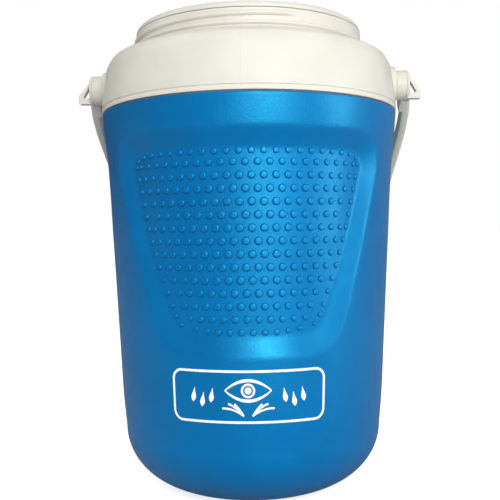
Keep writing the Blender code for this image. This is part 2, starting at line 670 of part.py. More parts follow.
# === Manifold, nozzles and caps =======================================================================
def u_tube(name, radius, top_z, end_x, finish):
    """A tube that rises on both sides of a level middle run."""
    path = [(-end_x, top_z, 0)]
    for k in range(4):
        t = math.pi / 2 * k / 3
        x = -end_x + ELBOW_R - ELBOW_R * math.cos(t)
        path.append((x, OUTLET_Z + ELBOW_R - ELBOW_R * math.sin(t), t))
    path += [(-x, z, math.pi - t) for x, z, t in path[::-1]]
    sections = []
    for x, z, t in path:
        section = []
        for i in range(14):
            a = 2 * math.pi * i / 14
            out, depth = radius * math.cos(a), radius * math.sin(a)
            section.append((x - out * math.cos(t), MANIFOLD_Y + depth, z - out * math.sin(t)))
        sections.append(section)
    return loft(name, sections, finish)


def build_manifold():
    manifold = u_tube("nozzle_manifold", MANIFOLD_R, RISER_TOP_Z, NOZZLE_X, CREAM)
    at = (0, 0, OUTLET_Z)
    inlet = turned(
        "manifold_inlet",
        [
            (0, MANIFOLD_Y), (9.6, MANIFOLD_Y), (9.6, 160), (BODY_R, 157), (BODY_R, 152.4), (11.8, 152.4),
            (11.8, 147), (0, 147),
        ],
        None, "Y", at, 20, False,
    )  # fmt: skip
    join(manifold, inlet)
    bore = u_tube("manifold_bore", MANIFOLD_BORE_R, RISER_TOP_Z + 2, NOZZLE_X, None)
    cut(manifold, bore, rod("inlet_bore", MANIFOLD_BORE_R + 0.7, 140, MANIFOLD_Y, None, "Y", at, 20))


def build_nozzle(side, sign):
    at = (sign * NOZZLE_X, MANIFOLD_Y, 0)
    x = sign * NOZZLE_X
    nozzle = turned(
        "nozzle_" + side,
        [
            (CUP_R, CUP_TOP_Z), (CUP_R, 97.5), (10.8, 88), (10.8, 74.5), (MANIFOLD_R + 0.4, 74.5),
            (MANIFOLD_R + 0.4, 84.6), (6, 84.6), (6, 88.5), (12.2, 98.6), (13.4, 98.6), (13.4, CUP_TOP_Z),
        ],
        CREAM, "Z", at, 20,
    )  # fmt: skip
    ears = []
    hinge = (CAP_HINGE_Y, CAP_HINGE_Z)
    side_view = [
        (hinge[0] - 2.6, hinge[1] + 2.6), (hinge[0] + 2.6, hinge[1] + 2.6), (hinge[0] + 2.6, hinge[1] - 0.3),
        (165, hinge[1] - 0.3), (166.4, 92), (163.5, 92), (hinge[0] - 2.6, hinge[1] - 2.4),
    ]  # fmt: skip
    for k, (near, far) in enumerate(((3.5, 6.5), (-6.5, -3.5))):
        sections = [[(x + dx, y, z) for y, z in side_view] for dx in (near, far)]
        ears.append(loft("ear_" + side + str(k), sections, None))
    hole = rod("ear_hole_" + side, 1.6, -9, 9, None, "X", (x, CAP_HINGE_Y, CAP_HINGE_Z), 12)
    cut(join(nozzle, *ears), hole)

    disc = tube("spray_disc_" + side, 1.3, 13, 98.9, 100.9, STEEL, "Z", at)
    sprays = []
    for k in range(SPRAY_HOLES):
        a = 2 * math.pi * k / SPRAY_HOLES
        hole_at = (x + 7.5 * math.cos(a), MANIFOLD_Y + 7.5 * math.sin(a), 0)
        sprays.append(rod("spray_" + side + str(k), 1.3, 95, 105, None, "Z", hole_at, 6))
    cut(disc, *sprays)

    cap = turned(
        "dust_cap_" + side,
        [
            (0, CAP_TOP_Z), (CAP_R - 1.6, CAP_TOP_Z), (CAP_R, CAP_TOP_Z - 1.6), (CAP_R, CAP_FOOT_Z),
            (CAP_BORE_R, CAP_FOOT_Z), (CAP_BORE_R, CUP_TOP_Z + 0.5), (0, CUP_TOP_Z + 0.5),
        ],
        GREEN, "Z", at, 20, False,
    )  # fmt: skip
    knuckle = rod("knuckle_" + side, 2.6, -3.1, 3.1, None, "X", (x, CAP_HINGE_Y, CAP_HINGE_Z), 16)
    low = (x - 3.05, CAP_HINGE_Y + 0.2, CAP_HINGE_Z + 0.4)
    high = (x + 3.05, MANIFOLD_Y - CAP_R + 0.9, CAP_HINGE_Z + 2.5)
    neck = box("knuckle_neck_" + side, low, high, None)
    pin_space = rod("pin_space_" + side, 1.6, -9, 9, None, "X", (x, CAP_HINGE_Y, CAP_HINGE_Z), 12)
    cut(join(cap, knuckle, neck), pin_space)
    hang((x, CAP_HINGE_Y, CAP_HINGE_Z), cap)
    rod("cap_pin_" + side, 1.3, -6.5, 6.5, STEEL, "X", (x, CAP_HINGE_Y, CAP_HINGE_Z), 12)


build_shell()
build_liner()
build_foam()
build_collar()
build_plug()
build_handle()
build_lug("strap_lug_right", "X", 1)
build_lug("strap_lug_left", "-X", -1)
build_bulkhead()
stem_piece, ball_piece = build_valve()
arm_piece = build_swing_arm()
right_screw = build_arm_screw("arm_screw_right", "X")
build_arm_screw("arm_screw_left", "-X")
hang((0, BALL_Y, OUTLET_Z), arm_piece, stem_piece, ball_piece, right_screw)
build_manifold()
for side_name, side_sign in (("right", 1), ("left", -1)):
    build_nozzle(side_name, side_sign)
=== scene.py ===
"""Looks of a portable eyewash station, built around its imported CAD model.

Lengths are in millimetres and become metres as each mesh is made. +Z is up, the plain front faces -Y and
the eyewash head faces +Y. Angles round the jug start at the front and run towards +X.
"""

import json
import math

import bmesh
import bpy
import numpy as np
from mathutils import Matrix, Vector


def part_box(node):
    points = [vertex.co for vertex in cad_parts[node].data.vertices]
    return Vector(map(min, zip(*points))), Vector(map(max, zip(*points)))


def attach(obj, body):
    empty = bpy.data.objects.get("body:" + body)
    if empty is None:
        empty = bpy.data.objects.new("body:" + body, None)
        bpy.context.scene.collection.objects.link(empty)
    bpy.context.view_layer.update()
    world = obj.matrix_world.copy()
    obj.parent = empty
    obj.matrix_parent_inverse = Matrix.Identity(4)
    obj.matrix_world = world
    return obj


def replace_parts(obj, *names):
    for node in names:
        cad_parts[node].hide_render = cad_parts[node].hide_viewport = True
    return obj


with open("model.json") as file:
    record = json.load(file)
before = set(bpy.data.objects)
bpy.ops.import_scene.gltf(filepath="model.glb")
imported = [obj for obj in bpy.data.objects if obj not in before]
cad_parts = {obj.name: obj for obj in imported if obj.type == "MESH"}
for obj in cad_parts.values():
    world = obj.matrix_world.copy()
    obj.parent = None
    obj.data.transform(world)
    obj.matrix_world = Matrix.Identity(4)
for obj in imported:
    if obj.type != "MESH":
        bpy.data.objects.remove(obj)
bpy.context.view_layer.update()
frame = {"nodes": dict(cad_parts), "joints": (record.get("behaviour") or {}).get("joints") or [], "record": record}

MM = 0.001

# === What the frame says ==================================
BODY_OF = {n: body for body, nodes in frame["record"]["behaviour"]["bodies"].items() for n in nodes}
SLOT_OF = {part["node"]: part["material_slot"] for part in frame["record"]["subparts"]}
AXIS_AT = {joint["name"]: Vector(joint["pos_m"]) / MM for joint in frame["joints"]}


def top_of(node):
    """Highest corner of a CAD node's box, in millimetres."""
    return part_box(node)[1] / MM


PIVOT_Z = AXIS_AT["handle_swing"].z
VALVE_Y, OUTLET_Z = AXIS_AT["valve_arm_turn"].y, AXIS_AT["valve_arm_turn"].z
CAP_HINGE_Y, CAP_HINGE_Z = AXIS_AT["cap_right_hinge"].y, AXIS_AT["cap_right_hinge"].z
NOZZLE_X = AXIS_AT["cap_right_hinge"].x
PIVOT_AT = (0, 0, PIVOT_Z)
OUTLET_AT = (0, 0, OUTLET_Z)
STEM_AT = (0, VALVE_Y, OUTLET_Z)
SHELL_TOP_Z = top_of("outer_shell").z
RIM_TOP_Z = top_of("inner_liner").z
COLLAR_R = top_of("neck_collar").y

# === Driving dimensions ===================================
# Jug wall: (height, radius) above the base corner, which is a quarter ellipse down to the foot ring.
WALL_POINTS = (
    (48, 104.4), (73, 106.6), (112, 108.6), (190, 112.5), (262, 116.3), (287, 118.9), (299, 119.8),
)  # fmt: skip
CORNER_H = 48
FOOT_R = 50.5
PUSH_UP_H = 4
PLUG_HOLE_R = 8.3
SHELL_WALL = 2.5
SHELL_EDGE = 1.2
FOAM_OFFSET = SHELL_WALL + 0.5
SHELL_COLUMNS = 416
MOULD_LINE = 0.14

# Grip panels, front and back, unrolled on a cylinder of PANEL_REF_R.
PANEL_TOP_Z, PANEL_BOTTOM_Z = 262.3, 130.6
PANEL_TOP_HALF, PANEL_BOTTOM_HALF = 96.5, 64
PANEL_TOP_CORNER, PANEL_BOTTOM_CORNER = 10, 22
PANEL_TOP_DEPTH, PANEL_BOTTOM_DEPTH = 7, 5
PANEL_BULGE = 3.2
# Width of the slope round the floor at a few heights.
SLOPE_WIDTHS = (
    (116, 14.2), (131, 15), (140, 15.7), (152, 15.5), (165, 13.1), (207, 10.6), (250, 13.1), (262, 14.2),
)  # fmt: skip
PANEL_SOFTNESS = 0.1
PANEL_REF_R = 112

# Raised grip dots: the second row sits closer to the first one than the rest.
DOT_ROWS = 15
DOT_TOP_Z, DOT_SECOND_Z, DOT_BOTTOM_Z = 260.3, 252.6, 133.5
DOT_PITCH = 8.9
DOT_MARGIN = 3.6
DOT_R = 2.9
DOT_RISE = 1.6

# How far the last three dots of the top row and of the two lowest rows leave their row, from the edge in.
EDGE_LIFTS = {0: (-3.3, -1, -0.3), 13: (1.7, 0.6, 0.2), 14: (4.7, 2.3, 1)}

# Neck collar.
NECK_R, NECK_BORE_R, NECK_TOP_Z = 92, 87.8, 363.7
NECK_ROOT_Z = 349
# Outside of the collar from the neck's root down to its bead: (radius, height, corner radius).
SHOULDER = (
    (92.3, 349), (99, 348.2), (106.5, 345.3, 6), (112.2, 342, 5), (116.1, 335, 8), (119.8, 309),
    (119.95, 304.2),
)  # fmt: skip
COLLAR_WALL = 3
COLLAR_COLUMNS = 440
COLLAR_PARTING_DEG = -0.6
THREAD_Z, THREAD_DEG, THREAD_LEAD, THREAD_SPAN_DEG = 359.9, 22.8, 9, 288
THREAD_RISE, THREAD_HALF = 1.8, 2.05
BEAD_Z, BEAD_RISE, BEAD_HALF = 352.9, 1.4, 1.75

# Liner, whose floor meets its side in a quarter ellipse.
LINER_FLOOR_R, LINER_FLOOR_Z = 49, 15
LINER_SIDE_R, LINER_SIDE_Z = 94.5, 55
LINER_WALL = 2.5
FOAM_GAP = 0.4

# Carry handle and its pivots.
BOSS_R, BOSS_FACE_X = 15, 120.4
SPIGOT_R, SPIGOT_END_X = 6, 128.9
STUD_R, STUD_HOLE_R = 3.2, 3.6
HUB_R, HUB_BORE_R = 12.1, 6.4
HUB_IN_X, HUB_OUT_X = 120.8, 129.2
LUG_IN_X, LUG_OUT_X, LUG_TIP_X = 129.35, 131.9, 141.95
ARM_X, ARM_HALF_THICK = 130.6, 3.6
ARM_HALF_W, GRIP_HALF_W = 6.5, 9
ARM_START, GRIP_REACH, HANDLE_BEND = 12.5, 156.5, 54.4
HANDLE_REST_DEG = -40
# How far the arms lean out and then in, at a few distances from the pivot.
ARM_LEAN = ((0, 0), (13, 0.3), (25, 1.4), (45, 1.2), (75, -1.2), (102, -4))

# Outlet, ball valve, manifold and nozzles.
SHELL_BOSS_Y = 107.5
TAIL_R, TAIL_HOLE_R, WATERWAY_R = 10.4, 10.8, 7
FLANGE_Y, FLANGE_END_Y, FLANGE_R = 110.1, 114, 19
BODY_R, BODY_END_Y = 16.5, 152
BALL_R, STEM_R, STEM_END_X = 11, 4.8, 57.2
SIDE_BOSS_R, SIDE_BOSS_X = 9.5, 46
SCREW_HOLE_R = 2.2
MANIFOLD_Y, MANIFOLD_R, MANIFOLD_BORE_R = 178, 8.5, 6
ELBOW_R, RISER_TOP_Z = 14, 84
CUP_R, CUP_TOP_Z = 15, 105
CAP_R, CAP_BORE_R, CAP_FOOT_Z, CAP_TOP_Z = 17, 15.8, 99.7, 108
PIN_R, PIN_HOLE_R, KNUCKLE_R = 1.3, 1.6, 2.6
SWING_REST_DEG = 93
SWING_REACH = 102


# === Materials ============================================
class Finish:
    """A Principled material whose inputs are fed by procedural nodes in the object's own space."""

    def __init__(self, name, metallic=0.0):
        self.material = bpy.data.materials.new(name)
        self.material.use_nodes = True
        self.tree = self.material.node_tree
        self.shader = self.tree.nodes["Principled BSDF"]
        self.shader.inputs["Metallic"].default_value = metallic
        self.place = self.add("ShaderNodeTexCoord").outputs["Object"]

    def add(self, kind, **settings):
        node = self.tree.nodes.new(kind)
        for key, value in settings.items():
            setattr(node, key, value)
        return node

    def feed(self, socket, value):
        if isinstance(value, bpy.types.NodeSocket):
            self.tree.links.new(value, socket)
        else:
            socket.default_value = value

    def noise(self, size, detail=2.0, stretch=(1, 1, 1)):
        """Noise whose features are about size millimetres, longer along an axis with stretch over 1."""
        mapping = self.add("ShaderNodeMapping")
        self.feed(mapping.inputs["Vector"], self.place)
        mapping.inputs["Scale"].default_value = [1 / s for s in stretch]
        noise = self.add("ShaderNodeTexNoise")
        self.feed(noise.inputs["Vector"], mapping.outputs["Vector"])
        noise.inputs["Scale"].default_value = 1 / (size * MM)
        noise.inputs["Detail"].default_value = detail
        return noise.outputs["Fac"]

    def cells(self, size):
        """Distance to the nearest cell centre, with cells about size millimetres across."""
        voronoi = self.add("ShaderNodeTexVoronoi")
        self.feed(voronoi.inputs["Vector"], self.place)
        voronoi.inputs["Scale"].default_value = 1 / (size * MM)
        return voronoi.outputs["Distance"]

    def edges(self):
        """1 on sharply convex edges, where handling polishes and scuffs a part, and 0 elsewhere."""
        return self.spread(self.add("ShaderNodeNewGeometry").outputs["Pointiness"], 0.52, 0.6, 0, 1)

    def spread(self, value, low, high, to_low, to_high):
        node = self.add("ShaderNodeMapRange")
        self.feed(node.inputs["Value"], value)
        for key, number in zip(("From Min", "From Max", "To Min", "To Max"), (low, high, to_low, to_high)):
            node.inputs[key].default_value = number
        return node.outputs["Result"]

    def mix(self, factor, first, second):
        node = self.add("ShaderNodeMix", data_type="RGBA")
        self.feed(node.inputs[0], factor)
        for socket, colour in ((node.inputs[6], first), (node.inputs[7], second)):
            self.feed(socket, (*colour, 1) if isinstance(colour, tuple) else colour)
        return node.outputs[2]

    def bump(self, height, depth, under=None):
        """Normal of a relief depth millimetres deep, laid over the relief under it."""
        node = self.add("ShaderNodeBump")
        node.inputs["Distance"].default_value = depth * MM
        self.feed(node.inputs["Height"], height)
        if under is not None:
            self.feed(node.inputs["Normal"], under)
        return node.outputs["Normal"]

    def use(self, colour, roughness, normal):
        self.feed(self.shader.inputs["Base Color"], colour)
        self.feed(self.shader.inputs["Roughness"], roughness)
        self.feed(self.shader.inputs["Normal"], normal)
        return self.material


def plastic(name, deep, light, roughness, grain, grain_depth, scuff, subsurface=0.0):
    """Moulded plastic: two mottled tones, a fine grain, a slow waviness and scuffed edges."""
    made = Finish(name)
    mottle = made.spread(made.noise(38, 4), 0.32, 0.68, 0, 1)
    speckle = made.spread(made.noise(1.6, 3), 0.3, 0.7, 0, 0.35)
    tone = made.mix(speckle, made.mix(mottle, deep, light), light)
    tone = made.mix(made.spread(made.edges(), 0, 1, 0, 0.45), tone, scuff)
    rough = made.spread(made.noise(9, 5), 0.25, 0.75, roughness - 0.05, roughness + 0.07)
    relief = made.bump(made.noise(22, 2), 0.1)
    relief = made.bump(made.noise(grain, 2), grain_depth, relief)
    if subsurface:
        made.shader.inputs["Subsurface Weight"].default_value = subsurface
        made.shader.inputs["Subsurface Radius"].default_value = (1, 0.9, 0.75)
        made.shader.inputs["Subsurface Scale"].default_value = 2 * MM
    return made.use(tone, rough, relief)


def rubber(name):
    """Moulded elastomer: near black with a chalky bloom and a matte pebble."""
    made = Finish(name)
    bloom = made.spread(made.noise(5, 5), 0.45, 0.8, 0, 0.5)
    tone = made.mix(bloom, (0.018, 0.018, 0.02), (0.07, 0.07, 0.072))
    rough = made.spread(made.noise(3, 3), 0.3, 0.7, 0.62, 0.85)
    return made.use(tone, rough, made.bump(made.noise(0.5, 3), 0.05))


def foam():
    """Rigid foam: closed cells with darker pores."""
    made = Finish("pu_foam")
    cells = made.cells(1.1)
    tone = made.mix(made.spread(cells, 0.1, 0.7, 0, 1), (0.62, 0.5, 0.25), (0.88, 0.79, 0.5))
    return made.use(tone, 0.9, made.bump(cells, 0.25))


def steel():
    """Turned stainless steel: fine tool marks, smudges of oil and a little colour shift."""
    made = Finish("turned_stainless", 1.0)
    marks = made.noise(0.35, 4, (1, 14, 14))
    smudge = made.spread(made.noise(7, 4), 0.4, 0.75, 0, 1)
    tone = made.mix(smudge, (0.66, 0.655, 0.64), (0.5, 0.49, 0.47))
    rough = made.spread(marks, 0.3, 0.7, 0.18, 0.4)
    return made.use(tone, rough, made.bump(marks, 0.02))


def ink():
    """Screen-printed white ink: dense, faintly mottled, with pinholes."""
    made = Finish("print_ink")
    holes = made.spread(made.noise(0.7, 3), 0.2, 0.34, 1, 0)
    tone = made.mix(holes, (0.9, 0.91, 0.92), (0.45, 0.62, 0.8))
    rough = made.spread(made.noise(4, 3), 0.3, 0.7, 0.35, 0.5)
    return made.use(tone, rough, made.bump(made.noise(0.6, 2), 0.02))


FINISHES = {
    "blue_shell": plastic(
        "blue_hdpe", (0.0, 0.104, 0.32), (0.0, 0.124, 0.37), 0.37, 1.2, 0.16, (0.01, 0.2, 0.5)
    ),
    "cream_plastic": plastic(
        "cream_plastic", (0.575, 0.555, 0.49), (0.63, 0.615, 0.555), 0.46, 0.8, 0.03, (0.76, 0.745, 0.69),
        0.12,
    ),
    "white_plastic": plastic(
        "white_pe", (0.8, 0.8, 0.785), (0.87, 0.87, 0.86), 0.36, 0.9, 0.02, (0.9, 0.9, 0.89), 0.15
    ),
    "green_plastic": plastic(
        "safety_green", (0.0, 0.21, 0.075), (0.005, 0.28, 0.11), 0.38, 0.7, 0.03, (0.1, 0.42, 0.22)
    ),
    "ptfe": plastic("ptfe", (0.82, 0.82, 0.8), (0.9, 0.9, 0.89), 0.5, 0.4, 0.01, (0.92, 0.92, 0.91), 0.1),
    "foam": foam(),
    "black_rubber": rubber("epdm_rubber"),
    "stainless": steel(),
}
INK = ink()
# The cream plastic mirrors little, and the blue one mirrors its surroundings in its own colour.
for slot, socket, value in (
    ("cream_plastic", "Specular IOR Level", 0.3),
    ("blue_shell", "IOR", 1.68),
    ("blue_shell", "Specular IOR Level", 1.0),
    ("blue_shell", "Specular Tint", (0.06, 0.7, 1, 1)),
):
    FINISHES[slot].node_tree.nodes["Principled BSDF"].inputs[socket].default_value = value

for node_name, node in frame["nodes"].items():
    node.data.materials.clear()
    node.data.materials.append(FINISHES[SLOT_OF[node_name]])


# === Mesh tools ===========================================
# Rotations that carry a shape made along +Z to another axis.
ALONG = {
    "Z": Matrix.Identity(4),
    "Y": Matrix.Rotation(math.radians(-90), 4, "X"),
    "X": Matrix.Rotation(math.radians(90), 4, "Y"),
    "-X": Matrix.Rotation(math.radians(-90), 4, "Y"),
}


def placed(points, axis="Z", at=(0, 0, 0)):
    """Points made along +Z, turned to an axis and moved."""
    turn = np.array(ALONG[axis].to_3x3())
    return np.asarray(points) @ turn.T + np.array(at)


def shade(obj, angle=35):
    obj.data.shade_smooth()
    obj.data.set_sharp_from_angle(angle=math.radians(angle))
    return obj


def piece(name, verts, faces, angle=35):
    """A mesh object from points in millimetres, with its faces looking out."""
    mesh = bpy.data.meshes.new(name)
    mesh.from_pydata((np.asarray(verts) * MM).tolist(), [], faces)
    mesh.calc_loop_triangles()
    corners = np.empty(len(mesh.loop_triangles) * 3, np.int32)
    mesh.loop_triangles.foreach_get("vertices", corners)
    a, b, c = np.moveaxis(np.asarray(verts)[corners.reshape(-1, 3)], 1, 0)
    if np.einsum("ij,ij->", a, np.cross(b, c)) < 0:
        mesh.flip_normals()
    obj = bpy.data.objects.new(name, mesh)
    bpy.context.scene.collection.objects.link(obj)
    return shade(obj, angle)


def ring_faces(rows, cols, loop=False):
    """Quads between successive rings of cols points."""
    i = np.arange(cols)
    j = (i + 1) % cols
    bands = []
    for k in range(rows if loop else rows - 1):
        a, b = k * cols, (k + 1) % rows * cols
        bands.append(np.stack((a + i, b + i, b + j, a + j), 1))
    return np.concatenate(bands).tolist()


def skin(name, rings, loop=False, tips=None, angle=35):
    """A piece through rings of points. A loop joins the last ring to the first, and otherwise a fan
    closes each end, on the tips where they are given."""
    rings = np.asarray(rings, float)
    rows, cols = rings.shape[:2]
    faces = ring_faces(rows, cols, loop)
    verts = rings.reshape(-1, 3)
    if not loop:
        ends = rings[[0, -1]].mean(axis=1) if tips is None else np.asarray(tips, float)
        first, last = len(verts), len(verts) + 1
        verts = np.vstack((verts, ends))
        base = (rows - 1) * cols
        for i in range(cols):
            j = (i + 1) % cols
            faces.append((i, j, first))
            faces.append((base + j, base + i, last))
    return piece(name, verts, faces, angle)


def rounded(points, segments=5):
    """A profile whose points (r, h, radius) become rounded corners."""
    out = []
    for i, point in enumerate(points):
        radius = point[2] if len(point) > 2 else 0
        if not radius:
            out.append((point[0], point[1]))
            continue
        here = Vector(point[:2])
        back = Vector(points[i - 1][:2]) - here
        ahead = Vector(points[(i + 1) % len(points)][:2]) - here
        cut = radius / math.tan(back.angle(ahead) / 2)
        start = here + back * min(0.48, cut / back.length)
        end = here + ahead * min(0.48, cut / ahead.length)
        for k in range(segments + 1):
            t = k / segments
            spot = start * (1 - t) ** 2 + here * 2 * t * (1 - t) + end * t**2
            out.append((spot.x, spot.y))
    return out


def turned(name, profile, axis="Z", at=(0, 0, 0), steps=96, flutes=None):
    """A turned piece. The profile of (r, h) starts and ends on the axis, or else closes on itself as a
    ring. Flutes (count, depth, low, high) groove its side between two heights."""
    profile = rounded(profile)
    ends = (profile[0], profile[-1])
    solid = ends[0][0] == 0
    if solid:
        profile = profile[1:-1]
    r, h = np.array(profile, float).T
    a = np.linspace(0, 2 * math.pi, steps, endpoint=False)
    reach = np.repeat(r[:, None], steps, 1)
    if flutes:
        count, depth, low, high = flutes
        side = (h >= low) & (h <= high) & (r > 0.8 * r.max())
        reach[side] -= depth * (0.5 - 0.5 * np.cos(count * a)) ** 2
    height = np.repeat(h[:, None], steps, 1)
    rings = placed(np.stack((reach * np.cos(a), reach * np.sin(a), height), 2), axis, at)
    tips = placed([(0, 0, end[1]) for end in ends], axis, at) if solid else None
    return skin(name, rings, not solid, tips)


def rod(name, radius, start, end, axis="Z", at=(0, 0, 0), steps=64, edge=0.0):
    profile = [(0, end), (radius, end, edge), (radius, start, edge), (0, start)]
    return turned(name, profile, axis, at, steps)


def quarter(low, high, steps):
    """Points (r, h) of a quarter ellipse from high, on a wall, down to low, on a floor."""
    points = []
    for k in range(steps + 1):
        a = math.pi / 2 * k / steps
        r = low[0] + (high[0] - low[0]) * math.cos(a)
        points.append((r, low[1] + (high[1] - low[1]) * (1 - math.sin(a))))
    return points


def round_jug(a, reach, z):
    """Rings of points round the jug, at angles a, radii reach and heights z."""
    return np.stack((reach * np.sin(a), -reach * np.cos(a), np.repeat(z, len(a), 1)), 2)


def prism(name, outline, low, high, axis=0):
    """A flat outline of two coordinates, extruded from low to high along the given axis."""
    rings = []
    for level in (low, high):
        rings.append([tuple(np.insert(np.array(point, float), axis, level)) for point in outline])
    count = len(outline)
    faces = ring_faces(2, count) + [tuple(range(count)), tuple(range(count, 2 * count))[::-1]]
    return piece(name, np.array(rings).reshape(-1, 3), faces)


def swept(name, path, section):
    """A closed tube of sections. Each path entry is (point, out, across, half_out, half_across)."""
    rings = []
    for point, out, across, half_out, half_across in path:
        point, out, across = np.array(point), np.array(out), np.array(across)
        rings.append([point + out * half_out * s + across * half_across * t for s, t in section])
    return skin(name, rings, angle=50)


def squircle(power, count=28):
    """Points round a rounded square; a higher power has squarer corners."""
    spots = []
    for k in range(count):
        a = 2 * math.pi * (k + 0.5) / count
        c, s = math.cos(a), math.sin(a)
        grow = (abs(c) ** power + abs(s) ** power) ** (-1 / power)
        spots.append((c * grow, s * grow))
    return spots


def settle(obj):
    """Applies an object's modifiers."""
    graph = bpy.context.evaluated_depsgraph_get()
    mesh = bpy.data.meshes.new_from_object(obj.evaluated_get(graph))
    obj.modifiers.clear()
    obj.data = mesh
    return obj


def merged(first, *others):
    """Puts the meshes of several objects in the first one, as separate closed bodies."""
    bm = bmesh.new()
    for obj in (first, *others):
        bm.from_mesh(obj.data)
    bm.to_mesh(first.data)
    bm.free()
    for obj in others:
        bpy.data.objects.remove(obj)
    return first


def boolean(obj, operation, others):
    for other in others:
        modifier = obj.modifiers.new(other.name, "BOOLEAN")
        modifier.operation = operation
        modifier.solver = "MANIFOLD"
        modifier.object = other
    settle(obj)
    for other in others:
        bpy.data.objects.remove(other)
    return shade(obj)


def cut(obj, *others):
    return boolean(obj, "DIFFERENCE", others)


def join(obj, *others):
    return boolean(obj, "UNION", others)


def moulded(obj, voxel, rounds):
    """Melts overlapping shapes into one moulding with softly rounded edges and inner corners."""
    remesh = obj.modifiers.new("melt", "REMESH")
    remesh.mode = "VOXEL"
    remesh.voxel_size = voxel * MM
    soften = obj.modifiers.new("soften", "SMOOTH")
    soften.factor = 0.5
    soften.iterations = rounds
    return shade(settle(obj), 50)


def install(obj, node):
    """obj stands for a CAD node: it rides on the same body and takes the same material slot."""
    obj.name = node + "_fine"
    obj.data.materials.clear()
    obj.data.materials.append(FINISHES[SLOT_OF[node]])
    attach(obj, BODY_OF[node])
    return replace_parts(obj, node)


def add_detail(obj, body, finish):
    """obj is a detail on a body that stands for no CAD node of its own."""
    obj.data.materials.clear()
    obj.data.materials.append(finish)
    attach(obj, body)
    return obj


# === Jug shell ============================================
def wall_radius(z):
    """Outer radius of the jug at height z."""
    if z < CORNER_H:
        below = (CORNER_H - z) / CORNER_H
        return FOOT_R + (WALL_POINTS[0][1] - FOOT_R) * math.sqrt(max(0, 1 - below * below))
    slopes = [(b[1] - a[1]) / (b[0] - a[0]) for a, b in zip(WALL_POINTS, WALL_POINTS[1:])]
    ends = [slopes[0]] + [(m + n) / 2 for m, n in zip(slopes, slopes[1:])] + [slopes[-1]]
    i = max(k for k in range(len(slopes)) if z >= WALL_POINTS[k][0])
    (z0, r0), (z1, r1) = WALL_POINTS[i], WALL_POINTS[i + 1]
    t = (z - z0) / (z1 - z0)
    rise = (t**3 - 2 * t**2 + t) * ends[i] + (t**3 - t**2) * ends[i + 1]
    return r0 + (3 * t**2 - 2 * t**3) * (r1 - r0) + rise * (z1 - z0)


def panel_share(z):
    return np.clip((z - PANEL_BOTTOM_Z) / (PANEL_TOP_Z - PANEL_BOTTOM_Z), 0, 1)


def outline_distance(u, z):
    """Signed distance from (u, z) to the panel floor's rounded outline, in the unrolled wall."""
    corner = PANEL_BOTTOM_CORNER + (PANEL_TOP_CORNER - PANEL_BOTTOM_CORNER) * panel_share(z)
    low = (PANEL_BOTTOM_HALF - PANEL_BOTTOM_CORNER, PANEL_BOTTOM_Z + PANEL_BOTTOM_CORNER)
    high = (PANEL_TOP_HALF - PANEL_TOP_CORNER, PANEL_TOP_Z - PANEL_TOP_CORNER)
    loop = [(-low[0], low[1]), low, high, (-high[0], high[1])]
    u, z = np.broadcast_arrays(np.abs(u) - PANEL_BULGE * np.sin(math.pi * panel_share(z)) ** 2, z)
    nearest = np.full(u.shape, np.inf)
    inside = np.ones(u.shape, bool)
    for (ax, ay), (bx, by) in zip(loop, loop[1:] + loop[:1]):
        ex, ey, px, py = bx - ax, by - ay, u - ax, z - ay
        t = np.clip((px * ex + py * ey) / (ex * ex + ey * ey), 0, 1)
        nearest = np.minimum(nearest, np.hypot(px - ex * t, py - ey * t))
        inside &= ex * py - ey * px >= 0
    return np.where(inside, -nearest, nearest) - corner


def eased(t, soft):
    """A ramp from 0 to 1 whose two ends are rounded over a share soft of its length."""
    t = np.clip(t, -soft, 1 + soft)
    start = (t + soft) ** 2 / (4 * soft)
    end = 1 - (1 + soft - t) ** 2 / (4 * soft)
    return np.where(t < soft, start, np.where(t > 1 - soft, end, t))


def floor_depth(z):
    """Depth of a panel's floor at height z."""
    return PANEL_BOTTOM_DEPTH + (PANEL_TOP_DEPTH - PANEL_BOTTOM_DEPTH) * panel_share(z)


def panel_depth(a, z):
    """How far the wall is pushed in at angles a round the jug, with a panel at the front and the back."""
    turn = np.abs((a + math.pi / 2) % math.pi - math.pi / 2)[None, :]
    away = outline_distance(turn * PANEL_REF_R, z) / np.interp(z, *zip(*SLOPE_WIDTHS))
    return floor_depth(z) * (1 - eased(away, PANEL_SOFTNESS))


def around(count, seams):
    """Angles round the jug, with extra ones close to each mould parting line."""
    angles = list(np.linspace(0, 2 * math.pi, count, endpoint=False))
    for seam in seams:
        angles += [math.radians(seam + offset) % (2 * math.pi) for offset in (-0.32, -0.17, 0, 0.17, 0.32)]
    return np.unique(np.round(angles, 6))


def seam_ridge(angles, seams, height):
    """Height of the fine ridges that a mould leaves along its parting lines."""
    ridge = np.zeros_like(angles)
    for seam in seams:
        off = (angles - math.radians(seam) + math.pi) % (2 * math.pi) - math.pi
        ridge += height * np.exp(-((np.degrees(off) / 0.16) ** 2))
    return ridge


